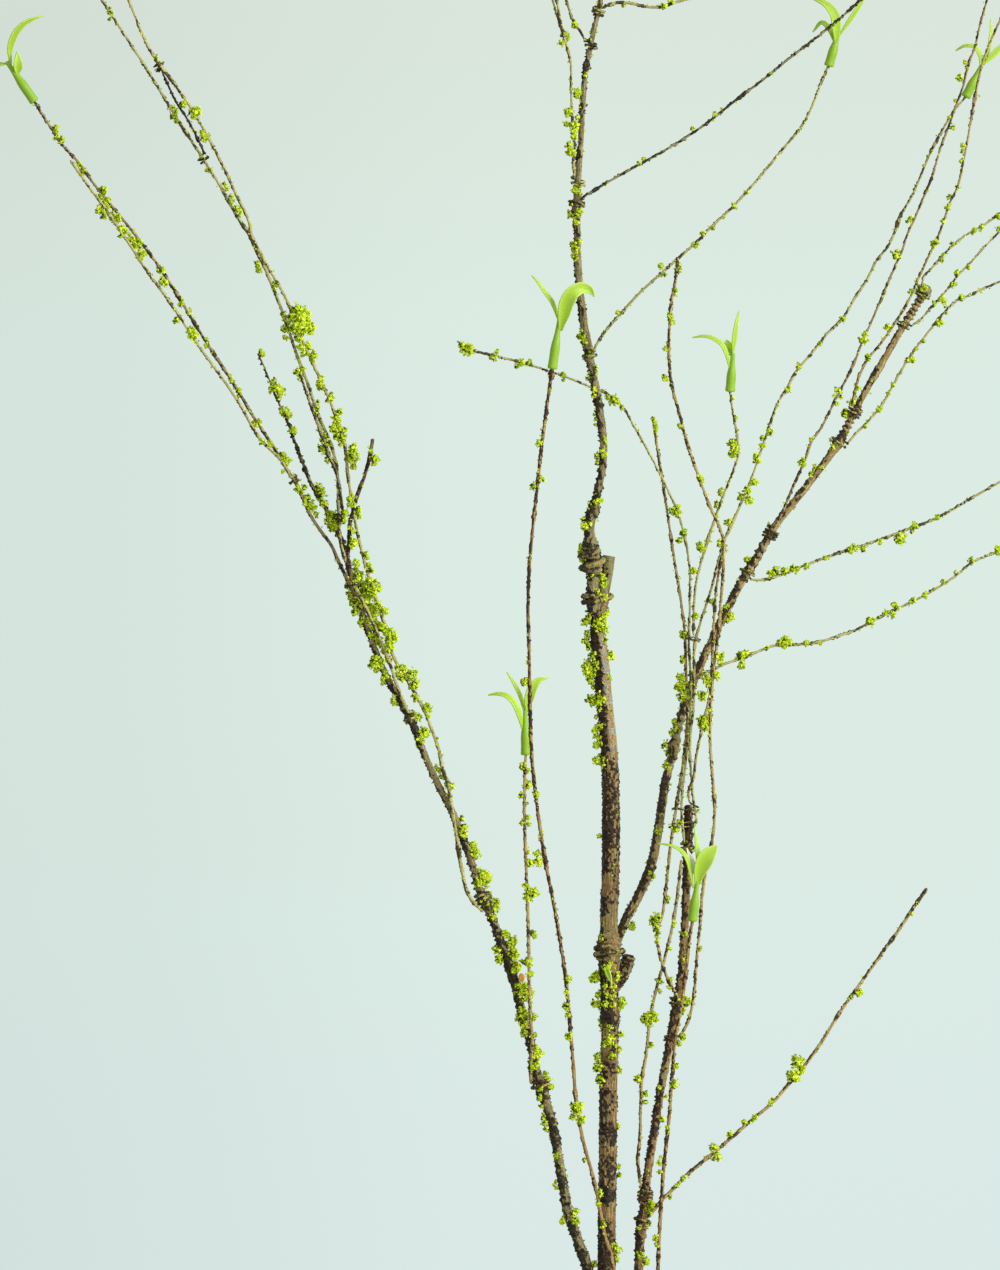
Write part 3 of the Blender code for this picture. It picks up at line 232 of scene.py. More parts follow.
        way=[(594, 612), (593, 595), (593, 575), (592, 560), (590, 538), (590, 520), (594, 508),
             (598, 490), (603, 465), (603.5, 445), (601, 420), (596, 390), (590, 360),
             (583.5, 320), (579, 280), (577.5, 245), (577, 205), (578, 180), (580.5, 145),
             (583, 100), (586, 70), (590, 50), (594, 30), (597.5, 15), (601, 0), (605, -30),
             (608, -70), (610, -105)],
        rise=(24.5, 30, 35, 38, 40, 41, 42), knots=[(512, 0.9, 4), (346, 0.4, 4), (205, 0.5, 6)],
        girth=(2.85, 2.85, 2, 1.95, 1.95, 1.9, 1.75, 1.75, 1.65, 1.55, 1.45, 1.2)),
    "twig_arch": dict(
        way=[(593, 351), (600, 339), (610, 326), (620, 315), (640, 293), (660, 275), (677, 260),
             (700, 239), (710, 228.5), (733, 207), (746, 193), (770, 165), (790, 141), (802, 126),
             (809, 113), (816, 96), (822, 80), (828, 67.5)],
        rise=(42, 44, 46, 47), girth=(0.75, 0.7, 0.65), foot=("upper_stem", 1.8, -1)),
    "twig_slant": dict(
        way=[(583, 198), (600, 187.5), (640, 165), (660, 154), (700, 129), (740, 98), (760, 83),
             (790, 59), (820, 36), (844, 16), (861, 0), (882, -22), (900, -45)],
        rise=(44, 52, 60, 66), girth=(0.75, 0.7, 0.65), foot=("upper_stem", 2.2, -1)),
    "twig_beside": dict(
        way=[(574, 178), (573.5, 160), (575, 147), (573, 133), (572, 115), (571, 90), (570, 60),
             (566, 45), (561, 30), (556, 13), (552, 0), (546, -22), (541, -45)],
        rise=(45, 45, 46, 47), girth=(0.85, 0.8, 0.7), foot=("upper_stem", 1.8, -1),
        fork=[(568, 52), (564, 38), (560, 20), (556.5, 0), (552, -24)]),
    "twig_top_left": dict(
        way=[(584, 40), (580, 32), (575, 26), (571.5, 18), (566, 0), (562, -20)],
        rise=(46, 48, 50), girth=(0.75, 0.7, 0.65), foot=("upper_stem", 1.8, -1)),
    "twig_top_right": dict(
        way=[(606, 7), (617, 4), (630, 4.5), (650, 8.5), (662, 8), (672, 4.5), (690, 0),
             (715, -8), (745, -15), (775, -24)],
        rise=(46, 49, 51), girth=(0.85, 0.75, 0.65), foot=("upper_stem", 2.4, -1)),
    "twig_dark_tall": dict(
        way=[(680, 1036), (687, 1025), (691.5, 1010), (694.5, 990), (697, 960), (700.6, 920),
             (702.5, 895), (707, 866), (712, 842), (714.5, 820), (714.5, 800), (711.5, 765),
             (710, 735), (711, 705), (713.5, 670), (718, 635), (721, 598), (723.3, 565),
             (723, 540), (718, 524), (711, 510), (704, 492), (696, 470), (689, 450), (679, 414),
             (670.6, 380), (668.7, 361), (668.7, 339), (671.6, 299), (675.6, 278), (677, 258)],
        rise=(13, 17, 22, 28, 34, 42, 50, 54), girth=(0.9, 0.85, 0.85, 0.9),
        foot=("right_stem", 1.5, -1)),
    "twig_front_right": dict(
        way=[(618, 1392), (622, 1365), (638, 1325), (650, 1295), (658, 1268), (658.7, 1250),
             (661, 1210), (664.5, 1160), (669, 1120), (672, 1080), (675.3, 1040), (682.3, 1000),
             (687.2, 960), (689.4, 940), (692.2, 921)],
        rise=(13, 15, 18, 22, 27, 31), girth=(1, 1, 0.9, 0.9)),
    "twig_front": dict(
        way=[(608, 1385), (611, 1330), (614, 1270), (611, 1255), (606, 1240), (602, 1220),
             (594, 1180), (583, 1140), (576, 1100), (573, 1060), (569.5, 1020), (566, 980),
             (560, 940), (553, 900), (545, 860), (539, 820), (534, 780), (531, 740), (530, 700),
             (529, 650), (528, 600), (530, 558), (533, 526), (538, 480), (542, 444), (549, 391),
             (552, 370)],
        rise=(14, 18, 30, 42, 54, 62, 66, 68), girth=(1, 1, 0.95, 0.95, 0.9),
        knots=[(375, 0.6, 1.5)]),
}


def linear(color):
    values = np.array(color, float) / 255
    return [*np.where(values < 0.04045, values / 12.92, ((values + 0.055) / 1.055) ** 2.4), 1.0]


def plan(point):
    return np.array([(point[0] - planOrigin[0]) * planUnit,
                     (planOrigin[1] - point[1]) * planUnit, *point[2:]], float)


def curveThrough(points, step=stepLength):
    points = np.array(points, float)
    chord = np.linalg.norm(np.diff(points, axis=0), axis=1)
    slope = np.diff(points, axis=0) / chord[:, None]
    inner = ((slope[:-1] * chord[1:, None] + slope[1:] * chord[:-1, None])
             / (chord[:-1] + chord[1:])[:, None])
    tangent = np.vstack([slope[:1], inner, slope[-1:]])
    rows = []
    for i, length in enumerate(chord):
        t = np.linspace(0, 1, max(2, math.ceil(length / step) + 1))[:-1, None]
        rows.append((2 * t**3 - 3 * t**2 + 1) * points[i] + (3 * t**2 - 2 * t**3) * points[i + 1]
                    + ((t**3 - 2 * t**2 + t) * tangent[i]
                       + (t**3 - t**2) * tangent[i + 1]) * length)
    return np.vstack([*rows, points[-1:]])


def alongPath(path):
    return np.concatenate([[0], np.cumsum(np.linalg.norm(np.diff(path, axis=0), axis=1))])


def atStations(values, path):
    way = alongPath(path)
    return np.interp(way / way[-1], np.linspace(0, 1, len(values)), values)


def layOver(path, girth, laid):
    # a twig rises smoothly where it would touch one that already lies there
    way = alongPath(path)
    for _ in range(6):
        lift = np.zeros(len(path))
        for other, otherGirth in laid:
            low, high = path.min(axis=0) - 8, path.max(axis=0) + 8
            near = ((other[:, :2] > low[:2]) & (other[:, :2] < high[:2])).all(axis=1)
            if not near.any():
                continue
            points, radius = other[near], otherGirth[near]
            reach = girth[:, None] + radius[None] + layGap
            flat = np.hypot(path[:, None, 0] - points[None, :, 0],
                            path[:, None, 1] - points[None, :, 1])
            room = np.sqrt(np.maximum(reach**2 - flat**2, 0))
            rise = points[None, :, 2] + room - path[:, None, 2]
            touching = (flat < reach) & (rise > 0) & (rise < 2 * room)
            lift = np.maximum(lift, np.where(touching, rise, 0).max(axis=1))
        if lift.max() < 0.03:
            break
        raised = np.nonzero(lift > 0)[0]
        apart = np.minimum(np.abs(way[:, None] - way[None, raised]) / liftReach, 1)
        path[:, 2] += (lift[raised] * np.cos(apart * math.pi / 2)**2).max(axis=1) + 0.02
    return path


def frameAt(path, index):
    low, high = max(index - 2, 0), min(index + 2, len(path) - 1)
    forward = path[high] - path[low]
    forward /= np.linalg.norm(forward)
    across = np.cross([0, 0, 1.0], forward)
    across /= np.linalg.norm(across)
    return forward, across, np.cross(forward, across)


def ringPoint(hosts, index, angle, girth, points):
    path = hosts[0][0]
    forward, across, up = frameAt(path, index)
    away = math.cos(angle) * across + math.sin(angle) * up
    best = None
    for host, hostGirth in hosts:
        offset = host - path[index]
        sliceRow = int(np.argmin(np.abs(offset @ forward) + 0.05 * np.linalg.norm(offset, axis=1)))
        centre = host[sliceRow] - (offset[sliceRow] @ forward) * forward
        size = hostGirth[sliceRow] + girth + (coilGap if len(hosts) == 1 else bundleGap)
        support = (centre - path[index]) @ away + size
        if best is None or support > best[0]:
            best = (support, centre + away * size / math.cos(math.pi / points))
    return best[1]


def coilRound(hosts, first, heading, turns, climb, girth):
    path, radius = hosts[0]
    start = int(np.argmin(np.linalg.norm(path[:, :2] - first[:2], axis=1)))
    across = frameAt(path, start)[1]
    size = radius[start] + girth + coilGap
    side = float(np.clip((first - path[start])[:2] @ across[:2] / size, -1, 1))
    left = heading[:2] @ across[:2] > 0
    points = coilPoints if len(hosts) == 1 else coilPoints + 8
    pitch = 2 * girth + 0.35
    rows = []
    for i in range(1, round(turns * points) + 1):
        turn = i / points
        spread = min(turn, 0.5) * 2.2 * pitch + max(turn - 0.5, 0) * pitch
        index = start + climb * spread / stepLength
        low = int(np.clip(math.floor(index), 0, len(path) - 2))
        angle = math.acos(side) + (1 if not left else -1) * 2 * math.pi * turn
        ends = [ringPoint(hosts, row, angle, girth, points) for row in (low, low + 1)]
        rows.append(ends[0] + (ends[1] - ends[0]) * (index - low))
    return np.array(rows)


# Loose bindings round several stems: plan row, turns, radius of the strand in mm.
bindingPlan = {
    "base_binding": dict(round=("main_stem", "left_limb", "right_stem", "twig_front",
                                "twig_front_right"), row=1340, turns=2.6, girth=1.1),
    "knot_binding": dict(round=("main_stem", "right_limb"), row=955, turns=1.6, girth=1.15),
    "stem_binding": dict(round=("upper_stem", "main_stem"), row=604, turns=1.6, girth=1.1),
    "upper_band": dict(round=("upper_stem",), row=571, turns=1.7, girth=1.5, pitch=5.6),
}

footLengths = {}         # mm of each strand's foot coil, filled in as it is laid


def layAll():
    strands = {}
    for name, spec in stemPlan.items():
        path = curveThrough([plan(point) for point in spec["way"]])
        path = np.column_stack([path, atStations(spec["rise"], path)])
        girth = atStations(spec["girth"], path)
        for row, added, half in spec.get("knots", ()):
            height = plan((0, row))[1]
            girth = girth + added * np.exp(-((path[:, 1] - height) / half)**2)
        path = layOver(path, girth, list(strands.values()))
        for key in ("foot", "end"):
            if key not in spec:
                continue
            around, turns, climb = spec[key]
            hosts = [strands[host] for host in around.split()]
            ends = path if key == "foot" else path[::-1]
            tail = slice(0, 6) if key == "foot" else slice(-1, -7, -1)
            radius = (coilSlim if len(hosts) == 1 else 0.8 * coilSlim) * girth[tail][0]
            girth[tail] = np.linspace(radius, girth[tail][-1], 6)
            wound = coilRound(hosts, ends[0], ends[6] - ends[0], turns, climb, radius)
            if key == "foot":
                footLengths[name] = alongPath(wound)[-1]
            path = np.vstack([wound[::-1], path] if key == "foot" else [path, wound])
            more = np.full(len(wound), radius)
            girth = np.concatenate([more, girth] if key == "foot" else [girth, more])
        strands[name] = (path, girth)
    for name, spec in bindingPlan.items():
        hosts = [strands[host] for host in spec["round"]]
        height = plan((0, spec["row"]))[1]
        index = int(np.argmin(np.abs(hosts[0][0][:, 1] - height)))
        pitch = spec.get("pitch", 2 * spec["girth"] + 0.4)
        rows = []
        for i in range(round(spec["turns"] * 24) + 1):
            turn = i / 24
            way = index + turn * pitch / stepLength
            ends = [ringPoint(hosts, row, math.radians(250) + 2 * math.pi * turn,
                              spec["girth"], 24) for row in (int(way), int(way) + 1)]
            rows.append(ends[0] + (ends[1] - ends[0]) * (way - int(way)))
        strands[name] = (np.array(rows), np.full(len(rows), spec["girth"]))
    return strands


def resample(path, girth, step):
    # even rows on a smooth curve through what was laid
    keep = np.concatenate([[True], np.linalg.norm(np.diff(path, axis=0), axis=1) > 0.05])
    path, girth = path[keep], girth[keep]
    way = alongPath(path)
    stations = np.linspace(0, way[-1], max(4, round(way[-1] / step)))
    fine = curveThrough(path, 0.25)
    fineWay = alongPath(fine)
    share = stations / way[-1] * fineWay[-1]
    rows = np.column_stack([np.interp(share, fineWay, fine[:, k]) for k in range(3)])
    return rows, np.interp(stations, way, girth)


def node(tree, kind, **settings):
    made = tree.nodes.new("ShaderNode" + kind)
    for key, value in settings.items():
        if key.startswith("in_"):
            made.inputs[int(key[3:])].default_value = value
        else:
            setattr(made, key, value)
    return made


def link(tree, source, target):
    tree.links.new(source, target)


def mixColors(tree, factor, first, second, blend="MIX"):
    made = node(tree, "Mix", data_type="RGBA", blend_type=blend)
    for socket, value in ((made.inputs[0], factor), (made.inputs[6], first),
                          (made.inputs[7], second)):
        if isinstance(value, bpy.types.NodeSocket):
            link(tree, value, socket)
        else:
            socket.default_value = value
    return made.outputs[2]


def calc(tree, operation, *values):
    made = node(tree, "Math", operation=operation)
    for socket, value in zip(made.inputs, values):
        if isinstance(value, bpy.types.NodeSocket):
            link(tree, value, socket)
        else:
            socket.default_value = value
    return made.outputs[0]


def times(tree, first, second):
    return calc(tree, "MULTIPLY", first, second)


def plus(tree, first, second):
    return calc(tree, "ADD", first, second)


def ramp(tree, value, low, high):
    made = node(tree, "MapRange", interpolation_type="SMOOTHSTEP")
    link(tree, value, made.inputs[0])
    made.inputs[1].default_value = low
    made.inputs[2].default_value = high
    return made.outputs[0]


def noiseAt(tree, vector, scale, detail=3.0, rough=0.55):
    made = node(tree, "TexNoise")
    link(tree, vector, made.inputs["Vector"])
    made.inputs["Scale"].default_value = scale
    made.inputs["Detail"].default_value = detail
    made.inputs["Roughness"].default_value = rough
    return made.outputs[0]


def newGroup(name, inputs, outputs):
    group = bpy.data.node_groups.new(name, "ShaderNodeTree")
    for label, kind, value in inputs:
        socket = group.interface.new_socket(label, in_out="INPUT", socket_type=kind)
        socket.default_value = value
    for label, kind in outputs:
        group.interface.new_socket(label, in_out="OUTPUT", socket_type=kind)
    return group, group.nodes.new("NodeGroupInput"), group.nodes.new("NodeGroupOutput")


# Colours are the red, green and blue of a picture, 0 to 255. patchy: share of dark bark. band: mm
# of one dark or light stretch. scab: mm along and round the stem of one bark scab. rough: mm that
# the scabs stand up. The last setting is painted light and shade: how much paler the bark is
# painted on the right, where the sun falls, than on the left.
barkLooks = {
    "mainStem": dict(tan=(118, 92, 54), pale=(188, 162, 100), dark=(22, 15, 9), patchy=0.47,
                     band=11, scab=(1.2, 0.85), rough=0.60, paintedSideLight=0.30),
    "grey": dict(tan=(122, 108, 64), pale=(178, 166, 120), dark=(23, 19, 7), patchy=0.50,
                 band=7, scab=(1.4, 0.9), rough=0.85, paintedSideLight=0.40),
    "brown": dict(tan=(134, 102, 58), pale=(188, 160, 106), dark=(28, 19, 9), patchy=0.47,
                  band=7, scab=(1.7, 0.8), rough=0.80, paintedSideLight=0.40),
    "ochre": dict(tan=(166, 142, 78), pale=(212, 194, 128), dark=(42, 29, 15), patchy=0.33,
                  band=3.4, scab=(1.0, 0.55), rough=0.46, paintedSideLight=0.36),
    "olive": dict(tan=(172, 164, 92), pale=(214, 210, 142), dark=(48, 40, 17), patchy=0.28,
                  band=3.2, scab=(0.9, 0.55), rough=0.42, paintedSideLight=0.34),
    "reddish": dict(tan=(142, 108, 60), pale=(204, 180, 108), dark=(44, 22, 15), patchy=0.49,
                    band=5, scab=(1.4, 0.7), rough=0.46, paintedSideLight=0.42),
    "greyTwig": dict(tan=(130, 122, 74), pale=(186, 180, 130), dark=(30, 26, 10), patchy=0.48,
                     band=3.6, scab=(1.1, 0.7), rough=0.56, paintedSideLight=0.40),
    "brownTwig": dict(tan=(146, 124, 76), pale=(194, 174, 122), dark=(34, 26, 12), patchy=0.42,
                      band=3.6, scab=(1.1, 0.6), rough=0.46, paintedSideLight=0.38),
    "limb": dict(tan=(146, 122, 72), pale=(202, 182, 124), dark=(36, 25, 14), patchy=0.42,
                 band=8, scab=(1.8, 0.9), rough=0.58, paintedSideLight=0.50),
    "wrap": dict(tan=(142, 124, 66), pale=(190, 174, 106), dark=(28, 22, 9), patchy=0.45,
                 band=3.0, scab=(1.1, 0.6), rough=0.62, paintedSideLight=0.34),
    "dark": dict(tan=(84, 56, 38), pale=(138, 110, 78), dark=(22, 14, 9), patchy=0.58,
                 band=5, scab=(1.3, 0.7), rough=0.55, paintedSideLight=0.30),
}

lookOf = {
    "main_stem": "mainStem", "upper_stem": "grey", "left_limb": "grey", "right_stem": "brown",
    "right_limb": "limb", "twig_low_right": "ochre", "twig_far_right": "olive",
    "twig_mid_right": "olive", "twig_fan_low": "olive", "twig_fan_inner": "olive",
    "twig_fan_top": "olive", "twig_right_tall": "ochre", "twig_right_arch": "brownTwig",
    "twig_left_low": "brownTwig", "twig_left_short": "olive", "twig_left_high": "olive",
    "twig_left_wired": "olive", "twig_left_splice": "greyTwig", "twig_left_bridge": "dark",
    "twig_dark_stub": "dark", "twig_bud": "ochre", "twig_right_pale": "ochre",
    "twig_crossing": "ochre", "twig_long_left": "olive", "twig_fan_stem": "olive",
    "twig_node": "olive", "twig_tied": "ochre", "twig_arch": "olive", "twig_slant": "greyTwig",
    "twig_beside": "olive", "twig_top_left": "greyTwig", "twig_top_right": "olive",
    "twig_dark_tall": "ochre", "twig_front_right": "reddish", "twig_front": "reddish",
    "base_binding": "wrap", "knot_binding": "wrap", "stem_binding": "wrap",
    "upper_band": "wrap",
}


# The pale fleck tint is partly grey-white specks of the bark and partly painted highlight glints.
barkTints = dict(lichen=(136, 138, 90), peeled=(186, 156, 94), weathered=(182, 184, 166),
                 fleckAndGlint=(172, 168, 160))


def makeBarkGroup():
    group, enter, leave = newGroup("willowBark", [
        ("Tan", "NodeSocketColor", (0.4, 0.3, 0.15, 1)),
        ("Pale", "NodeSocketColor", (0.6, 0.5, 0.3, 1)),
        ("Dark", "NodeSocketColor", (0.05, 0.03, 0.02, 1))],
        [("Color", "NodeSocketColor"), ("Roughness", "NodeSocketFloat"),
         ("Height", "NodeSocketFloat")])
    place = node(group, "TexCoord").outputs["Object"]
    stem = node(group, "Attribute", attribute_name="stem").outputs["Vector"]
    patchAndShade = node(group, "Attribute", attribute_name="patchAndShade").outputs["Fac"]
    lichen = node(group, "Attribute", attribute_name="lichen").outputs["Fac"]
    peel = node(group, "Attribute", attribute_name="peel").outputs["Fac"]
    bands = node(group, "Mapping", in_3=(1.0, 0.34, 1.0))
    link(group, stem, bands.inputs[0])
    grain = node(group, "Mapping", in_3=(0.16, 1.5, 1.0))
    link(group, stem, grain.inputs[0])
    ridges = noiseAt(group, bands.outputs[0], 1.15, 4, 0.62)
    streaks = noiseAt(group, grain.outputs[0], 1.1, 3)
    fine = noiseAt(group, place, 1500, 3, 0.6)
    wide = noiseAt(group, place, 260, 3)
    cells = node(group, "TexVoronoi", feature="F1")
    link(group, place, cells.inputs["Vector"])
    cells.inputs["Scale"].default_value = 1150
    edge = plus(group, times(group, ridges, 0.9), times(group, fine, 0.5))
    # dark bark from the stored mask: real patches mixed with painted light and shade
    mask = ramp(group, plus(group, patchAndShade, calc(group, "SUBTRACT", edge, 0.68)), 0.28, 0.74)
    streakMask = times(group, ramp(group, streaks, 0.42, 0.68), 0.85)
    wood = mixColors(group, streakMask, enter.outputs["Tan"], enter.outputs["Pale"])
    wood = mixColors(group, times(group, ramp(group, wide, 0.55, 0.7), 0.55), wood,
                     enter.outputs["Dark"])
    mossy = times(group, lichen, times(group, ramp(group, wide, 0.36, 0.56), 0.8))
    wood = mixColors(group, mossy, wood, linear(barkTints["lichen"]))
    bare = times(group, peel, plus(group, 0.30, times(group, ramp(group, fine, 0.40, 0.58), 0.45)))
    bared = mixColors(group, ramp(group, wide, 0.44, 0.54), linear(barkTints["peeled"]),
                      linear(barkTints["weathered"]))
    wood = mixColors(group, bare, wood, bared)
    specks = times(group, plus(group, 0.42, times(group, peel, 0.3)),
                  ramp(group, noiseAt(group, place, 2300, 2, 0.6), 0.52, 0.61))
    wood = mixColors(group, specks, wood, enter.outputs["Dark"])
    # small pale flecks: partly grey-white specks, partly painted highlight glints
    fleckAndGlint = times(group, calc(group, "LESS_THAN", cells.outputs[0], 0.22),
                 ramp(group, fine, 0.50, 0.62))
    rough = mixColors(group, ramp(group, ridges, 0.40, 0.70), enter.outputs["Dark"],
                      mixColors(group, 0.34, enter.outputs["Dark"], enter.outputs["Tan"]))
    color = mixColors(group, mask, wood, rough)
    color = mixColors(group, times(group, fleckAndGlint, 0.55), color, linear(barkTints["fleckAndGlint"]))
    link(group, color, leave.inputs["Color"])
    link(group, plus(group, 0.52, times(group, fine, 0.3)), leave.inputs["Roughness"])
    height = plus(group, times(group, ridges, 0.6),
                  plus(group, times(group, fine, 0.5), times(group, mask, 0.5)))
    link(group, height, leave.inputs["Height"])
    return group


def makeTintGroup():
    # three tints mixed by a value carried on each crumb or blade, with a little grain over them.
    # On the moss and the seed this value also carries painted light and shade.
    group, enter, leave = newGroup("softTint", [
        ("Deep", "NodeSocketColor", (0, 0, 0, 1)), ("Middle", "NodeSocketColor", (0, 0, 0, 1)),
        ("Light", "NodeSocketColor", (0, 0, 0, 1)), ("Grain", "NodeSocketFloat", 900.0),
        ("Mottle", "NodeSocketFloat", 0.6)],
        [("Color", "NodeSocketColor"), ("Height", "NodeSocketFloat")])
    place = node(group, "TexCoord").outputs["Object"]
    tone = node(group, "Attribute", attribute_name="tone").outputs["Fac"]
    grain = node(group, "TexNoise")
    link(group, place, grain.inputs["Vector"])
    link(group, enter.outputs["Grain"], grain.inputs["Scale"])
    mottle = times(group, calc(group, "SUBTRACT", grain.outputs[0], 0.5),
                  enter.outputs["Mottle"])
    value = plus(group, tone, mottle)
    low = mixColors(group, ramp(group, value, 0.0, 0.5), enter.outputs["Deep"],
                    enter.outputs["Middle"])
    color = mixColors(group, ramp(group, value, 0.5, 1.0), low, enter.outputs["Light"])
    link(group, color, leave.inputs["Color"])
    link(group, grain.outputs[0], leave.inputs["Height"])
    return group


def newMaterial(name, group, values, roughness, bumpDistance, bumpStrength):
    material = bpy.data.materials.new(name)
    material.use_nodes = True
    tree = material.node_tree
    shader = tree.nodes["Principled BSDF"]
    shader.inputs["Roughness"].default_value = roughness
    shader.inputs["Specular IOR Level"].default_value = 0.26
    look = node(tree, "Group", node_tree=group)
    for label, value in values.items():
        look.inputs[label].default_value = value
    link(tree, look.outputs["Color"], shader.inputs["Base Color"])
    if "Roughness" in look.outputs:
        link(tree, look.outputs["Roughness"], shader.inputs["Roughness"])
    bump = node(tree, "Bump")
    bump.inputs["Distance"].default_value = bumpDistance
    bump.inputs["Strength"].default_value = bumpStrength
    link(tree, look.outputs["Height"], bump.inputs["Height"])
    link(tree, bump.outputs[0], shader.inputs["Normal"])
    return material


def barkMaterial(name, look):
    return newMaterial(name, barkGroup, {"Tan": linear(look["tan"]), "Pale": linear(look["pale"]),
                                         "Dark": linear(look["dark"])}, 0.65, 0.0004, 0.8)


def tintMaterial(name, deep, middle, light, grain, roughness, strength, mottle=0.6):
    return newMaterial(name, tintGroup, {"Deep": linear(deep), "Middle": linear(middle),
                                         "Light": linear(light), "Grain": grain,
                                         "Mottle": mottle}, roughness, 0.0003, strength)


def makeCutWood():
    material = bpy.data.materials.new("cutWood")
    material.use_nodes = True
    tree = material.node_tree
    shader = tree.nodes["Principled BSDF"]
    shader.inputs["Roughness"].default_value = 0.7
    place = node(tree, "TexCoord").outputs["Object"]
    grain = noiseAt(tree, place, 1800, 3)
    color = mixColors(tree, ramp(tree, grain, 0.35, 0.7), linear((150, 118, 78)),
                      linear((206, 182, 138)))
    link(tree, color, shader.inputs["Base Color"])
    return material


def finishPiece(piece, nodeName, materials, smooth=True):
    piece.data.materials.clear()
    for material in materials:
        piece.data.materials.append(material)
    if smooth:
        piece.data.shade_smooth()
    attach(piece, "root")
    if nodeName:
        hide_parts(nodeName)


def sweep(name, path, girth, resolution):
    # a round curve through the rows, turned into a closed mesh
    line = bpy.data.curves.new(name, "CURVE")
    line.dimensions = "3D"
    line.bevel_depth = 0.001
    line.bevel_resolution = resolution
    line.use_fill_caps = True
    spline = line.splines.new("POLY")
    spline.points.add(len(path) - 1)
    spline.points.foreach_set("co", np.column_stack([path * 0.001, np.ones(len(path))]).ravel())
    spline.points.foreach_set("radius", girth)
    rod = bpy.data.objects.new(name, line)
    bpy.context.scene.collection.objects.link(rod)
    bpy.ops.object.select_all(action="DESELECT")
    rod.select_set(True)
    bpy.context.view_layer.objects.active = rod
    bpy.ops.object.convert(target="MESH")
    rod = bpy.context.object
    bpy.ops.object.mode_set(mode="EDIT")
    bpy.ops.mesh.select_all(action="SELECT")
    bpy.ops.mesh.remove_doubles(threshold=0.000001)
    bpy.ops.mesh.normals_make_consistent(inside=False)
    bpy.ops.object.mode_set(mode="OBJECT")
    return rod


# Bevel resolution of the round section, and mm between its rings
sections = {"main_stem": (22, 0.42), "upper_stem": (14, 0.45), "left_limb": (12, 0.48),
            "right_stem": (12, 0.48), "right_limb": (12, 0.48), "knot_binding": (4, 0.4),
            "stem_binding": (3, 0.4), "upper_band": (3, 0.4)}

# Stretches of a stem: plan row from, to, side (-1 left, 1 right, 0 all round), darker by. The
# one-sided stretches are partly the bark's own patches and partly painted light and shade on that
# side.
stemStretches = {
    "main_stem": [
        (560, 620, 0, 0.10), (620, 760, -1, 0.34), (630, 700, 1, -0.60), (700, 760, 1, -0.28),
        (760, 858, 0, 0.26), (858, 876, 0, 0.35), (876, 894, -1, -0.55), (876, 894, 1, 0.25),
        (892, 914, 0, 0.45), (914, 940, 0, -0.40), (960, 1012, 0, 0.10), (1012, 1026, 0, 0.45),
        (1026, 1062, -1, -0.4), (1030, 1075, 1, 0.15), (1078, 1122, 0, -0.16),
        (1126, 1142, 1, 0.6), (1142, 1188, -1, -0.35), (1188, 1202, 0, 0.40),
        (1203, 1222, 0, -0.35), (1222, 1290, 0, 0.10)],
    "upper_stem": [(-110, 330, 0, -0.30), (330, 530, -1, 0.10)],
    "right_stem": [(795, 862, 0, 0.40), (1184, 1262, 0, 0.32)],
    "left_limb": [(350, 520, 0, 0.08), (735, 862, 0, -0.14), (892, 1000, 0, 0.16),
                  (1000, 1290, 0, 0.10)],
    "right_limb": [(768, 985, -1, 0.16), (768, 985, 1, 0.05)],
    "twig_left_high": [(222, 264, 0, 0.5)],
    "twig_front": [(1030, 1290, 0, -0.40)],
    "twig_left_wired": [(56, 100, 0, 0.4), (224, 250, 0, 0.4)],
    "twig_low_right": [(888, 906, 0, 0.45), (935, 945, 0, 0.4)],
    "twig_dark_tall": [(256, 470, 0, 0.18)],
    "twig_long_left": [(342, 353, 0, 0.5)],
    "twig_fan_stem": [(208, 236, 0, 0.4)],
}

# Twisted stretches: plan rows from, to, mm from ridge to ridge, height of a ridge in mm. Their
# crests get painted highlight and their grooves painted shade.
twists = {
    "main_stem": [(936, 964, 2.6, 1.1)],
    "upper_stem": [(541, 580, 3.4, 0.9), (590, 604, 3.0, 0.7)],
    "main_stemStub": [(944, 966, 2.2, 0.9)],
    "right_limb": [(296, 330, 2.3, 1.0), (404, 434, 2.2, 1.1), (543, 580, 3.6, 0.7),
                   (694, 768, 4.6, 0.8)],
    "right_stem": [(838, 856, 2.6, 0.6), (1188, 1208, 2.6, 0.7)],
    "left_limb": [(864, 896, 2.9, 1.0), (1078, 1100, 3.4, 0.6), (1190, 1200, 2.6, 0.4)],
}
# Grey-green stretches of bark: plan rows from, to, and how strong.
lichens = {
    "main_stemStub": [(940, 975, 0.8)],
    "main_stem": [(548, 606, 0.9), (846, 866, 0.4), (898, 940, 0.35), (944, 958, 0.8)],
    "upper_stem": [(536, 606, 0.5)],
    "right_limb": [(690, 770, 1.0), (285, 300, 1.0)],
    "right_stem": [(1056, 1088, 0.7)],
    "twig_dark_stub": [(430, 448, 0.8)],
}
# Stretches where the bark has peeled off: plan rows where this starts, is full, fades and ends.
peelRows = {"main_stem": (612, 632, 735, 765), "twig_right_pale": (902, 908, 934, 942)}


def setAttribute(mesh, name, values, kind="FLOAT"):
    layer = mesh.attributes.new(name, kind, "POINT")
    layer.data.foreach_set("value" if kind == "FLOAT" else "vector",
                           np.ravel(values).astype(np.float32))


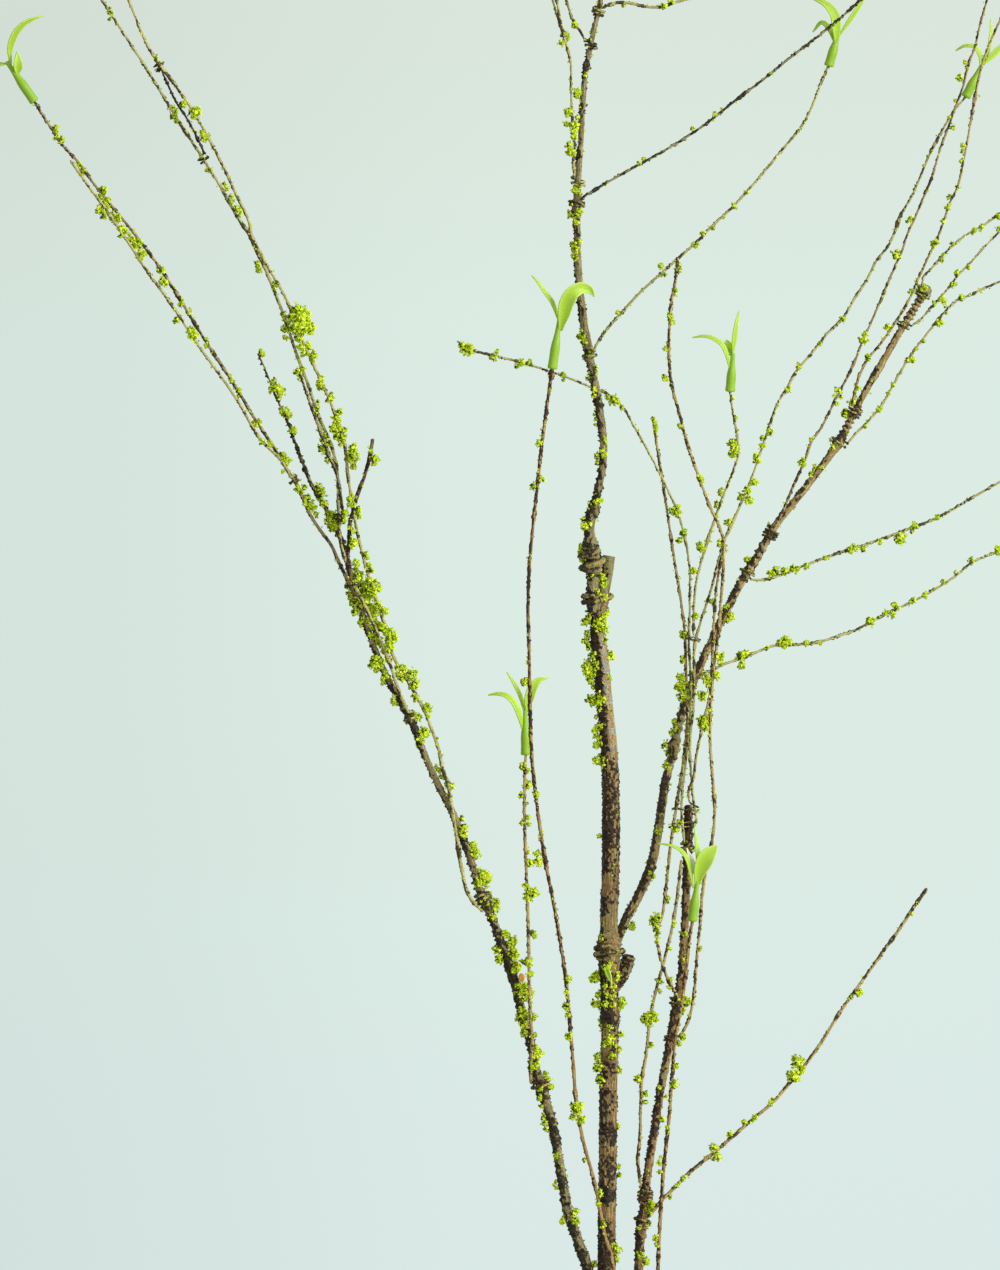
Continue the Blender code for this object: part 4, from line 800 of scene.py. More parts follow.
def softNoise(points):
    # smooth noise from 0 to 1 at each row of points
    cell = np.floor(points).astype(np.int64)
    part = points - cell
    part = part * part * (3 - 2 * part)
    total = np.zeros(len(points))
    for corner in ((0, 0, 0), (1, 0, 0), (0, 1, 0), (1, 1, 0),
                   (0, 0, 1), (1, 0, 1), (0, 1, 1), (1, 1, 1)):
        at = (cell + corner) & 0xffff
        mixed = (at[:, 0] * 73856093) ^ (at[:, 1] * 19349663) ^ (at[:, 2] * 83492791)
        mixed = ((mixed ^ (mixed >> 13)) * 1274126177) & 0xffffffff
        value = ((mixed ^ (mixed >> 16)) & 0xffff) / 65535
        total += np.prod(np.where(corner, part, 1 - part), axis=1) * value
    return total


def smoothStep(values, low, high):
    share = np.clip((values - low) / (high - low), 0, 1)
    return share * share * (3 - 2 * share)


def between(rows, top, bottom, soft=3):
    # 1 on the plan rows from top to bottom, fading over soft rows each way
    starts = smoothStep(rows, top - soft, top + soft)
    return starts * (1 - smoothStep(rows, bottom - soft, bottom + soft))


def twigNodes(along, seed):
    # 0 to 1 where a thin twig thickens into a node
    return smoothStep(softNoise(np.column_stack([along / 5.2 + seed * 31, along * 0 + 5.5,
                                                 along * 0 + 8.5])), 0.62, 0.82)


def roughenBark(rod, name, path, girth, look, seed):
    # raises the bark in scabs and nubs, and stores where a point is on the stem for the material
    mesh = rod.data
    count = len(mesh.vertices)
    points = np.zeros(count * 3, np.float32)
    mesh.vertices.foreach_get("co", points)
    points = points.reshape(-1, 3).astype(float) * 1000
    tree = kdtree.KDTree(len(path))
    for i, row in enumerate(path):
        tree.insert(row, i)
    tree.balance()
    rows = np.array([tree.find(point)[1] for point in points])
    forward = np.gradient(path, axis=0)
    forward /= np.linalg.norm(forward, axis=1)[:, None]
    across = np.cross([0, 0, 1.0], forward)
    across /= np.maximum(np.linalg.norm(across, axis=1), 1e-3)[:, None]
    up = np.cross(forward, across)
    way = alongPath(path)
    offset = points - path[rows]
    along = way[rows] + (offset * forward[rows]).sum(axis=1)
    angle = np.arctan2((offset * across[rows]).sum(axis=1), -(offset * up[rows]).sum(axis=1))
    radius = girth[rows]
    ring = np.column_stack([np.cos(angle) * radius, np.sin(angle) * radius])
    outward = offset / np.maximum(np.linalg.norm(offset, axis=1), 1e-6)[:, None]

    def grain(length, around, shift):
        return softNoise(np.column_stack([along / length + seed * 31 + shift,
                                          ring / around + 40 + shift]))

    slow = grain(look["band"], 7.0, 0)
    scab = grain(*look["scab"], 11)
    nub = grain(0.60, 0.60, 23)
    nodes = twigNodes(along, seed) * (radius < 1.7)
    # painted light and shade: the last term paints the bark paler on its right side, towards the
    # sun, and darker on its left
    dark = (look["patchy"] + 1.0 * (slow - 0.5) + 1.3 * (scab - 0.5) + 0.5 * (nub - 0.5)
            + 0.35 * nodes - look["paintedSideLight"] * outward[:, 0])
    peel = np.zeros(count)
    planRow = planOrigin[1] - points[:, 1] / planUnit
    starts, full, fades, ends = peelRows.get(name, (0, 1, 2, 3))
    peeled = smoothStep(planRow, starts, full) * (1 - smoothStep(planRow, fades, ends))
    if name == "twig_right_pale":
        peel = peeled
        dark = dark - 0.6 * peel
    jitter = planRow + 16 * (grain(2.6, 1.7, 51) - 0.5) + 9 * (grain(1.1, 0.8, 67) - 0.5)
    for top, bottom, side, darker in stemStretches.get(name, ()):
        share = between(jitter, top, bottom)
        if side:
            share = share * smoothStep(outward[:, 0] * side, -0.25, 0.35)
        dark += darker * share
    if name == "main_stem":
        peel = peeled * smoothStep(outward[:, 0], -0.1, 0.4)
        dark += 0.9 * peel * np.maximum(grain(0.8, 0.7, 91) - 0.58, 0) / 0.42
    ridge, lichen = np.zeros(count), np.zeros(count)
    for top, bottom, pitch, height in twists.get(name, ()):
        share = (smoothStep(planRow, top - 2, top + 3)
                 * (1 - smoothStep(planRow, bottom - 3, bottom + 2)))
        wave = 0.5 + 0.5 * np.cos(2 * math.pi * along / pitch + angle + 3 * (slow - 0.5))
        ridge += share * height * (wave**1.5 - 0.35)
        # painted highlight on the crests of the twist and painted shade in its grooves
        dark += share * (0.42 - 0.75 * wave)
    for top, bottom, strength in lichens.get(name, ()):
        lichen += strength * between(planRow, top, bottom)
    dark -= 0.22 * lichen - footDarker * (along < footLengths.get(name, -1))
    mask = smoothStep(dark, 0.36, 0.66)
    raised = (mask * (0.16 + 0.7 * (scab - 0.45))
              + 2.1 * np.maximum(nub - 0.56, 0) * (0.45 + mask) * (1 - 0.7 * peel))
    swell = look["rough"] * (raised - 0.16) + ridge
    side = np.abs((offset * forward[rows]).sum(axis=1)) < 0.6 * radius
    points += outward * (swell * side)[:, None]
    points[:, 2] = np.maximum(points[:, 2], 0.0)
    mesh.vertices.foreach_set("co", (points * 0.001).astype(np.float32).ravel())
    # the stored mask holds the bark's own dark patches together with painted side light and
    # painted shade in the grooves of twists
    setAttribute(mesh, "patchAndShade", np.clip(mask, 0, 1))
    setAttribute(mesh, "peel", peel)
    setAttribute(mesh, "lichen", lichen)
    setAttribute(mesh, "stem", np.column_stack([along + seed * 37, angle * radius,
                                                np.full(count, seed * 1.7)]), "FLOAT_VECTOR")


def joinInto(body, extras):
    bpy.ops.object.select_all(action="DESELECT")
    for piece in [body, *extras]:
        piece.select_set(True)
    bpy.context.view_layer.objects.active = body
    bpy.ops.object.join()
    return body


# Sprouts pushed on twig tips. neck: plan point of the fork. leaves: plan points with height
# over the twig's tip in mm, the blade's width in mm and its turn about its own length in degrees.
sproutPlan = {
    "sprout_left": dict(on="twig_left_low", neck=(6.7, 61.7), leaves=[
        ([(10, 64, 0), (9, 48, 2), (14, 33, 4), (23, 23, 5), (33, 18, 5), (43, 15, 4)], 3.6, 35),
        ([(17, 74, 0), (17, 62, 2.5), (16.5, 51, 3)], 4.4, 20),
        ([(6.7, 63, 0), (-2, 64, -1), (-12, 67, -2.1), (-20, 74, -2.9)], 3.2, 55)]),
    "sprout_bud": dict(on="twig_bud", neck=(525.2, 712), leaves=[
        ([(522.5, 729, 0), (519, 716, 2), (514, 704, 3), (506, 696, 3), (497, 694, 2),
          (488, 695, 0.5)], 4.2, 50),
        ([(524.5, 713, 0), (521, 700, -2), (515, 686, -4), (507, 672, -6)], 3.4, 60),
        ([(526.5, 712, 0), (529, 698, 1), (533, 687, 2), (539, 680, 2), (548, 678, 1)], 4.6, 10)]),
    "sprout_front_right": dict(on="twig_front_right", neck=(697, 882), leaves=[
        ([(693, 888, 0), (690, 873, 2), (687, 861, 3), (681, 851, 3.5), (672, 846, 3),
          (658, 843, 1)], 3.2, 60),
        ([(697.5, 880, 0), (698, 862, -1), (696.5, 844, -2), (694.5, 828, -3)], 3.2, 45),
        ([(696.5, 886, 0), (700, 870, 1.6), (706, 857, 2.8), (717, 845, 2.6)], 7.6, 8, 0.62)]),
    "sprout_node": dict(on="twig_node", neck=(732.5, 355), leaves=[
        ([(729.5, 369, 0), (726, 356, 1.5), (721.5, 346, 2), (714, 340, 2), (704, 337, 1.5),
          (692, 338, 0)], 3.2, 55),
        ([(732.5, 355, 0), (733.2, 340, 1), (735.5, 325, 2), (738.5, 312, 2)], 3.2, 50),
        ([(730, 356, 0), (728, 347, -3), (726, 340, -6)], 4.6, 5)]),
    "sprout_front": dict(on="twig_front", neck=(559, 322), leaves=[
        ([(560, 332, 0), (563, 317, 3), (566, 304, 5), (572, 294, 6), (582, 289, 4),
          (589, 291, 1), (594, 298, -3)], 6.8, 10),
        ([(558.5, 322, 0), (551, 303, 1), (544, 293, 1), (538, 284, 1), (531.5, 276.5, 0)],
         3.2, 55)]),
    "sprout_arch": dict(on="twig_arch", neck=(838, 33), leaves=[
        ([(835, 46, 0), (835, 30, 2), (832.5, 15, 3), (825, 6, 3), (812, 0, 1)], 5.0, 30),
        ([(833, 42, 0), (828, 30, -2), (822, 24, -3), (812, 33, -5)], 3.2, 45),
        ([(839, 36, 0), (848, 22, 0), (860, 4, 0), (868, -9, 0)], 3.0, 50)]),
    "sprout_fan": dict(on="twig_fan_stem", neck=(981.5, 66), leaves=[
        ([(981, 66, 0), (980, 55, 0), (975, 47, 0.5), (966, 45.5, 0.5), (956, 50, -0.5)],
         3.2, 55),
        ([(983, 64, 0), (988, 50, -1), (991, 34, -2), (991.7, 18, -3)], 3.0, 60),
        ([(984, 64, 0), (993, 54, -1), (1002, 45, -2), (1014, 37, -4)], 3.4, 40)]),
}


def carriedSprouts():
    return {spec["on"]: name for name, spec in sproutPlan.items()}


def sproutAxis(stem, path):
    neck = plan(sproutPlan[carriedSprouts()[stem]]["neck"])
    way = np.append(neck - path[-1, :2], 0.0)
    slope = (path[-1, 2] - path[-8, 2]) / max(np.linalg.norm(path[-1] - path[-8]), 1e-6)
    way[2] = np.linalg.norm(way) * float(np.clip(slope, -0.1, 0.1))
    return way / np.linalg.norm(way)


# Short cut branches that stand on a stem: plan points with height, and radii in mm.
stubPlan = {
    "main_stem": dict(way=[(609, 998, 10), (620, 980, 11.5), (627, 966, 12.5), (629, 955, 13)],
                      girth=(1.6, 2.5, 2.8, 3.0)),
    "right_limb": dict(way=[(672, 762, 9), (674.5, 750, 10.5), (676.5, 741, 11.5)],
                       girth=(1.8, 2.4, 2.5)),
}

# Knobs: plan row, mm added to the radius, half their length in mm.
knobs = {
    "right_limb": [(291, 0.7, 3.0)],
    "main_stem": [(948, 1.5, 4.2), (958, 0.7, 4), (1018, 0.35, 3), (600, 0.8, 3.2)],
    "twig_beside": [(60, -0.1, 60)],
    "left_limb": [(385, -0.5, 52)],
    "upper_stem": [(60, -0.22, 70), (498, -0.4, 16), (568, 1.7, 2.0), (553, 1.5, 2.4),
                   (544, 1.0, 2.2), (599, 0.7, 3)],
    "right_stem": [(1198, 0.5, 3)],
}

# Share of its laid girth that the bark of a strand has, where it isn't 1.
slender = {
    "twig_fan_low": 0.86, "twig_fan_inner": 0.86, "twig_fan_top": 0.88, "twig_long_left": 0.88,
    "twig_crossing": 0.88, "twig_fan_stem": 0.88, "twig_tied": 0.86, "twig_node": 0.88,
    "twig_right_tall": 0.9, "twig_right_arch": 0.9, "twig_mid_right": 0.9,
    "twig_far_right": 0.92, "twig_left_high": 0.86, "twig_left_low": 0.86,
    "twig_left_splice": 0.84, "twig_dark_stub": 0.86, "twig_front": 0.94,
    "twig_front_right": 0.94, "twig_dark_tall": 0.9, "twig_left_wired": 0.92,
    "twig_left_short": 0.92, "right_limb": 0.89, "upper_stem": 0.95, "twig_right_pale": 0.92,
    "twig_bud": 0.92, "twig_left_bridge": 0.62,
}
looseFeet = ("twig_node", "twig_dark_stub", "twig_fan_stem", "twig_tied")
looseShare = 0.5         # share of its girth that the foot coil of those has
footDarker = 0.36        # how much darker the bark of every foot coil is


def makeStrand(name, strands, seed):
    path, girth = strands[name]
    spec = stemPlan.get(name, {})
    look = barkLooks[lookOf[name]]
    resolution, step = sections.get(name, (2, 0.55))
    if name in carriedSprouts():
        path = np.vstack([path, path[-1] + tipInSocket * sproutAxis(name, path)])
        girth = np.append(girth, min(girth[-1], 0.95))
    parts = [resample(path, girth, step)]
    if name in stubPlan:
        way = curveThrough([plan(point) for point in stubPlan[name]["way"]], 0.4)
        wide = atStations(stubPlan[name]["girth"], way)
        edge = np.clip((alongPath(way)[-1] - alongPath(way)) / 2.2, 0, 1)
        parts.append(resample(way, wide * (0.5 + 0.5 * np.sqrt(edge)), 0.4))
    if "fork" in spec:
        prong = curveThrough([plan(point) for point in spec["fork"]])
        root = int(np.argmin(np.linalg.norm(path[:, :2] - prong[0], axis=1)))
        prong = np.column_stack([prong, path[root, 2] + np.linspace(0, 4, len(prong))])
        parts.append(resample(prong, np.full(len(prong), girth[root] * 0.85), step))
    rods = []
    for i, (rows, radii) in enumerate(parts):
        shift = seed + i * 0.37
        way = alongPath(rows)
        for row, added, half in knobs.get(name, ()) if i == 0 else ():
            radii = radii + added * np.exp(-((rows[:, 1] - plan((0, row))[1]) / half)**2)
        radii = radii * slender.get(name, 1.0)
        if i == 0 and name in looseFeet:
            radii[way < footLengths[name]] *= looseShare
        if i == 0 and name != "main_stem" and name not in carriedSprouts():
            toTip = np.clip((way[-1] - way) / (1.2 * radii[-1]), 0, 1)
            radii = radii * (0.6 + 0.4 * np.sqrt(toTip))
        thin = np.clip((2.2 - radii) / 1.2, 0, 1)
        wander = softNoise(np.column_stack([way / 3.4 + shift * 31, way * 0 + 2.5, way * 0 + 3.5]))
        radii = radii * (1 + thin * (0.30 * (wander - 0.5) + 0.38 * twigNodes(way, shift) - 0.12))
        rod = sweep(name + "Bark", rows, radii, resolution)
        roughenBark(rod, name if i == 0 else name + "Stub", rows, radii, look, shift)
        rods.append(rod)
    body = joinInto(rods[0], rods[1:]) if len(rods) > 1 else rods[0]
    finishPiece(body, name, [barkMaterial(name + "Bark", look), cutWood])
    return body


# Moss tufts on each stem: plan point and radius in plan units.
mossSpots = {
    "main_stem": [
        (586, 622, 6), (599, 622, 6), (585, 641, 5), (583, 668, 7), (590, 668, 6), (581, 679, 5),
        (590, 699, 6), (599, 702, 5), (595, 731, 5), (594, 761, 5), (606, 612, 5), (611, 657, 5),
        (592, 611, 6), (603, 617, 5), (604, 629, 6), (597, 630, 4), (584, 633, 4), (589, 647, 5),
        (594, 655, 5), (610, 654, 5), (596, 664, 5), (587, 673, 7), (596, 675, 4), (587, 683, 4),
        (610, 678, 3), (595, 701, 6), (603, 699, 5), (591, 704, 4), (600, 708, 4), (596, 717, 3),
        (602, 726, 5), (596, 737, 3), (597, 745, 5), (602, 743, 3), (600, 757, 4), (604, 765, 4),
        (598, 836, 3), (602, 941, 5), (588, 979, 6), (597, 976, 6), (607, 971, 7), (617, 975, 5),
        (613, 986, 5), (605, 986, 4), (600, 995, 5), (612, 996, 5), (595, 1004, 6), (606, 1004, 5),
        (623, 1002, 6), (619, 1010, 4), (602, 1025, 4), (610, 1027, 5), (609, 1041, 8),
        (621, 1034, 4), (598, 1056, 5), (612, 1055, 5), (619, 1050, 5), (600, 1068, 8),
        (602, 1080, 4), (619, 1070, 5), (618, 1128, 3), (618, 1168, 4), (617, 1250, 6),
        (616, 1258, 4), (593, 1265, 4)],
    "upper_stem": [
        (604, 584, 5), (609, 598, 5), (605, 575, 3), (585, 526, 6), (581, 547, 4), (580, 553, 4),
        (583, 560, 5), (594, 570, 3), (598, 592, 4), (596, 600, 3), (594, 503, 4), (601, 500, 3),
        (598, 463, 4), (596, 455, 3), (604, 455, 4), (604, 440, 3), (596, 419, 3), (594, 391, 4),
        (588, 379, 3), (579, 337, 4), (584, 342, 4), (590, 355, 4), (595, 368, 3), (576, 250, 6),
        (572, 246, 4), (572, 215, 6), (579, 212, 5), (575, 191, 5), (580, 195, 3), (586, 77, 2)],
    "left_limb": [
        (575, 1222, 5), (563, 1222, 4), (555, 1187, 3), (556, 1155, 3), (546, 1124, 5),
        (543, 1119, 3), (540, 1098, 5), (548, 1080, 5), (534, 1065, 7), (537, 1055, 5),
        (524, 1025, 6), (523, 1012, 6), (525, 990, 8), (531, 994, 6), (519, 995, 5), (516, 968, 6),
        (513, 955, 7), (512, 941, 6), (498, 949, 6), (502, 960, 5), (503, 937, 4), (495, 908, 6),
        (488, 895, 5), (483, 876, 8), (474, 852, 7), (473, 846, 4), (463, 828, 6), (451, 785, 6),
        (445, 768, 3), (424, 732, 6), (421, 740, 4), (418, 717, 5), (394, 702, 5), (385, 677, 5),
        (375, 661, 7), (372, 665, 5), (376, 640, 7), (371, 628, 5), (357, 607, 6), (362, 620, 4),
        (366, 600, 7), (373, 614, 7), (367, 586, 6), (379, 624, 6), (388, 650, 6), (362, 574, 5),
        (352, 597, 5), (347, 585, 4), (337, 520, 8), (333, 527, 6), (325, 503, 4), (319, 489, 6),
        (276, 388, 6), (271, 388, 3), (279, 395, 4), (286, 413, 6), (292, 430, 4), (261, 352, 4)],
    "right_stem": [
        (648, 1225, 5), (652, 1207, 6), (648, 1213, 5), (640, 1228, 3), (640, 1256, 5),
        (646, 1262, 5), (662, 1120, 4), (666, 1097, 2), (660, 1089, 3), (687, 1003, 6),
        (684, 1010, 3), (680, 1000, 4), (684, 960, 3), (685, 935, 3)],
    "right_limb": [
        (632, 928, 5), (637, 926, 3), (653, 877, 4), (650, 873, 3), (659, 832, 4), (667, 765, 5),
        (668, 753, 4), (666, 745, 5), (675, 722, 5), (675, 730, 5), (731, 617, 6), (728, 620, 4),
        (749, 561, 5), (811, 474, 4), (815, 467, 3), (822, 467, 2), (846, 413, 6), (853, 403, 5),
        (833, 447, 4), (924, 288, 5)],
    "twig_low_right": [
        (652, 1205, 5), (714, 1148, 6), (718, 1157, 5), (730, 1135, 4), (745, 1123, 4),
        (755, 1118, 4), (771, 1103, 4), (795, 1076, 9), (802, 1070, 6), (859, 993, 5),
        (683, 1179, 3), (677, 1186, 3), (670, 1197, 3), (912, 914, 3)],
    "twig_far_right": [
        (776, 571, 6), (784, 571, 5), (797, 569, 5), (807, 566, 4), (826, 558, 3), (850, 550, 4),
        (855, 547, 5), (864, 549, 4), (880, 541, 4), (901, 538, 8), (915, 526, 5), (938, 517, 4)],
    "twig_mid_right": [
        (700, 673, 6), (707, 678, 5), (717, 675, 4), (742, 656, 7), (747, 653, 4), (767, 648, 3),
        (783, 643, 8), (807, 643, 4), (820, 643, 2), (871, 621, 6), (886, 613, 4), (893, 614, 5),
        (899, 608, 4), (914, 600, 4), (925, 595, 3), (944, 581, 3), (957, 573, 3), (972, 560, 4),
        (998, 549, 4)],
    "twig_fan_low": [
        (866, 426, 3), (880, 409, 5), (889, 394, 3), (893, 385, 4), (912, 360, 6), (917, 349, 2),
        (924, 341, 3), (940, 322, 6), (947, 313, 3), (962, 298, 5), (971, 294, 2)],
    "twig_fan_inner": [
        (935, 304, 3), (943, 300, 6), (953, 285, 4), (958, 273, 5), (969, 267, 4), (999, 229, 5)],
    "twig_fan_top": [(942, 260, 4), (953, 243, 3), (975, 230, 4), (982, 227, 4), (998, 216, 5)],
    "twig_right_tall": [
        (868, 358, 5), (888, 327, 5), (912, 292, 5), (858, 388, 3), (935, 243, 6), (947, 208, 3),
        (950, 197, 4), (943, 221, 3), (958, 187, 3), (963, 146, 4), (962, 160, 4)],
    "twig_right_arch": [
        (803, 462, 6), (811, 439, 3), (838, 390, 5), (841, 397, 3), (837, 404, 3), (863, 340, 7),
        (866, 334, 4), (897, 255, 7), (911, 219, 4), (953, 128, 4), (949, 117, 3), (955, 100, 3),
        (960, 78, 5), (965, 62, 3), (967, 68, 3)],
    "twig_left_low": [
        (310, 505, 6), (307, 498, 5), (298, 490, 4), (304, 487, 4), (318, 513, 3), (285, 463, 5),
        (281, 455, 5), (254, 424, 4), (259, 421, 3), (238, 390, 3), (232, 381, 3), (207, 341, 3),
        (181, 302, 3), (189, 313, 3), (161, 270, 5), (136, 243, 8), (127, 243, 4), (133, 241, 4),
        (109, 222, 5), (106, 207, 5), (100, 197, 4), (103, 190, 6), (82, 171, 5), (55, 127, 4),
        (55, 137, 3), (61, 138, 3)],
    "twig_left_short": [
        (262, 441, 3), (272, 441, 3), (194, 336, 6), (191, 329, 4), (176, 320, 4), (164, 283, 5),
        (121, 229, 5), (100, 210, 6), (122, 213, 4)],
    "twig_left_high": [
        (321, 449, 7), (324, 440, 5), (320, 430, 4), (298, 371, 5), (317, 407, 4), (285, 329, 5),
        (283, 314, 3), (275, 283, 4), (257, 271, 4), (238, 209, 5), (232, 198, 3), (226, 187, 3),
        (208, 171, 3), (174, 117, 5), (111, 13, 3)],
    "twig_left_wired": [
        (428, 708, 5), (416, 697, 3), (411, 675, 7), (401, 675, 5), (403, 667, 4), (391, 637, 8),
        (383, 628, 6), (384, 611, 4), (378, 607, 4), (378, 588, 5), (368, 590, 6), (371, 570, 4),
        (367, 557, 3), (352, 457, 8), (343, 437, 5), (338, 429, 6), (331, 430, 5), (336, 419, 5),
        (331, 398, 4), (322, 387, 5), (314, 355, 5), (309, 348, 3), (301, 347, 5), (299, 338, 5),
        (300, 315, 11), (296, 325, 6), (304, 308, 5), (197, 112, 6), (206, 137, 5)],
    "twig_left_bridge": [(183, 105, 5)],
    "twig_dark_stub": [
        (375, 459, 6), (371, 452, 3), (358, 510, 5), (345, 513, 5), (350, 500, 5), (353, 543, 5),
        (356, 563, 5), (357, 580, 4), (362, 596, 6), (353, 531, 4)],
    "twig_bud": [
        (534, 1017, 5), (535, 1035, 4), (527, 962, 6), (530, 975, 4), (534, 934, 5), (532, 893, 8),
        (527, 898, 5), (530, 863, 5), (528, 852, 3), (522, 823, 3), (528, 817, 4), (527, 803, 2),
        (521, 795, 4), (528, 785, 5), (522, 767, 4), (528, 770, 2)],
    "twig_front": [
        (566, 1006, 5), (568, 1037, 4), (577, 1107, 9), (572, 1117, 4), (581, 1121, 3),
        (584, 1160, 3), (600, 1196, 4), (598, 1204, 4), (603, 1222, 3), (568, 978, 5),
        (566, 992, 3), (538, 862, 6), (536, 794, 5), (525, 681, 6), (539, 444, 4), (542, 480, 4),
        (534, 487, 5)],
    "twig_right_pale": [
        (648, 1019, 9), (651, 1045, 4), (638, 1079, 5), (645, 1094, 4), (660, 982, 4),
        (663, 993, 2), (669, 948, 3), (674, 925, 3)],
    "twig_front_right": [
        (676, 1066, 4), (674, 1084, 6), (668, 1128, 3), (659, 1163, 3), (660, 1172, 3),
        (656, 1238, 4), (658, 1246, 2)],
    "twig_dark_tall": [
        (683, 1037, 5), (679, 1044, 4), (700, 950, 2), (709, 710, 3), (717, 676, 4), (709, 680, 4),
        (721, 657, 5), (724, 662, 4), (719, 545, 3), (680, 427, 3), (699, 478, 4), (665, 350, 3),
        (663, 378, 4), (670, 317, 4), (675, 291, 3), (679, 271, 3), (679, 265, 2)],
    "twig_crossing": [
        (656, 920, 8), (658, 932, 4), (657, 942, 3), (668, 987, 2), (671, 980, 3), (668, 899, 3),
        (676, 829, 5), (681, 824, 3), (682, 686, 8), (676, 687, 6), (683, 697, 7), (682, 678, 4),
        (683, 658, 4), (684, 635, 5), (656, 427, 4), (654, 420, 3)],
    "twig_long_left": [
        (684, 533, 5), (674, 511, 6), (678, 516, 3), (614, 400, 6), (608, 397, 4), (622, 408, 3),
        (563, 375, 4), (530, 363, 4), (521, 363, 5), (494, 357, 5), (468, 350, 8), (462, 346, 6)],
    "twig_node": [
        (695, 616, 4), (693, 571, 5), (701, 548, 6), (697, 546, 3), (716, 507, 3), (721, 491, 4),
        (735, 449, 7), (734, 445, 5), (732, 455, 5), (732, 399, 3), (735, 419, 2)],
    "twig_fan_stem": [
        (713, 601, 4), (729, 522, 5), (741, 497, 5), (748, 500, 6), (747, 490, 5), (754, 482, 5),
        (757, 460, 5), (762, 446, 4), (771, 433, 4), (788, 390, 4), (799, 368, 3), (820, 343, 2),
        (843, 319, 4)],
    "twig_tied": [(703, 722, 8), (706, 727, 5), (702, 696, 6), (697, 692, 3)],
    "twig_beside": [
        (571, 152, 6), (567, 154, 4), (574, 127, 7), (567, 125, 4), (573, 133, 4), (568, 112, 5),
        (577, 92, 5), (577, 118, 3), (561, 44, 4), (568, 36, 3)],
    "twig_top_left": [(574, 26, 4)],
    "twig_top_right": [(623, 7, 2), (664, 8, 4), (672, 4, 3)],
    "twig_slant": [(639, 164, 3), (643, 160, 2), (692, 130, 3), (714, 116, 3), (721, 111, 2)],
    "twig_arch": [
        (618, 313, 3), (661, 267, 4), (664, 275, 3), (695, 245, 4), (703, 234, 3), (713, 229, 3),
        (723, 218, 2), (733, 206, 3), (747, 193, 3)],
}

# crumb: mm from the middle of a crumb to its side. fewest: crumbs in the smallest tuft. The deep
# colour is painted shade on crumbs inside a tuft and the light colour painted light on crumbs that
# face up and to the right, towards the sun.
mossLook = dict(deep=(46, 60, 2), middle=(184, 208, 34), light=(236, 248, 84),
                crumb=(0.46, 0.92), crumbsPerArea=7.0, fewest=9, sheen=0.1, fuzz=2.0)
mossSize = {"left_limb": 1.08, "twig_left_wired": 1.1, "twig_fan_low": 0.84,
            "twig_fan_inner": 0.84, "twig_fan_top": 0.84, "twig_right_tall": 0.86,
            "twig_right_arch": 0.88}
# How many smaller tufts grow beside each tuft, where it isn't 0.45.
mossMore = {"main_stem": 0.9, "upper_stem": 1.4, "left_limb": 2.2, "right_stem": 0.4,
            "right_limb": 0.5, "twig_left_wired": 2.4, "twig_left_high": 2.8,
            "twig_left_low": 1.6, "twig_left_short": 1.5, "twig_dark_stub": 1.6,
            "twig_beside": 1.2, "twig_crossing": 0.8, "twig_long_left": 0.8,
            "twig_dark_tall": 0.8, "twig_bud": 0.3, "twig_front": 0.4}


def crumbShapes(draw, number=40):
    # spiky little lumps of eight faces, made once and copied in many turns
    base = np.vstack([np.eye(3), -np.eye(3)])
    faces = np.array([(0, 1, 2), (1, 3, 2), (3, 4, 2), (4, 0, 2), (1, 0, 5), (3, 1, 5), (4, 3, 5),
                      (0, 4, 5)])
    shapes = []
    for _ in range(number):
        turn = np.linalg.qr(np.array([[draw.gauss(0, 1) for _ in range(3)] for _ in range(3)]))[0]
        if np.linalg.det(turn) < 0:
            turn[:, 0] *= -1
        spiky = np.array([draw.choice((0.6, 0.8, 1.0, 1.3, 1.6)) for _ in base])
        flat = np.array([1, draw.uniform(0.65, 1.0), draw.uniform(0.75, 1.0)])
        shapes.append((base * spiky[:, None] * flat) @ turn)
    return shapes, faces


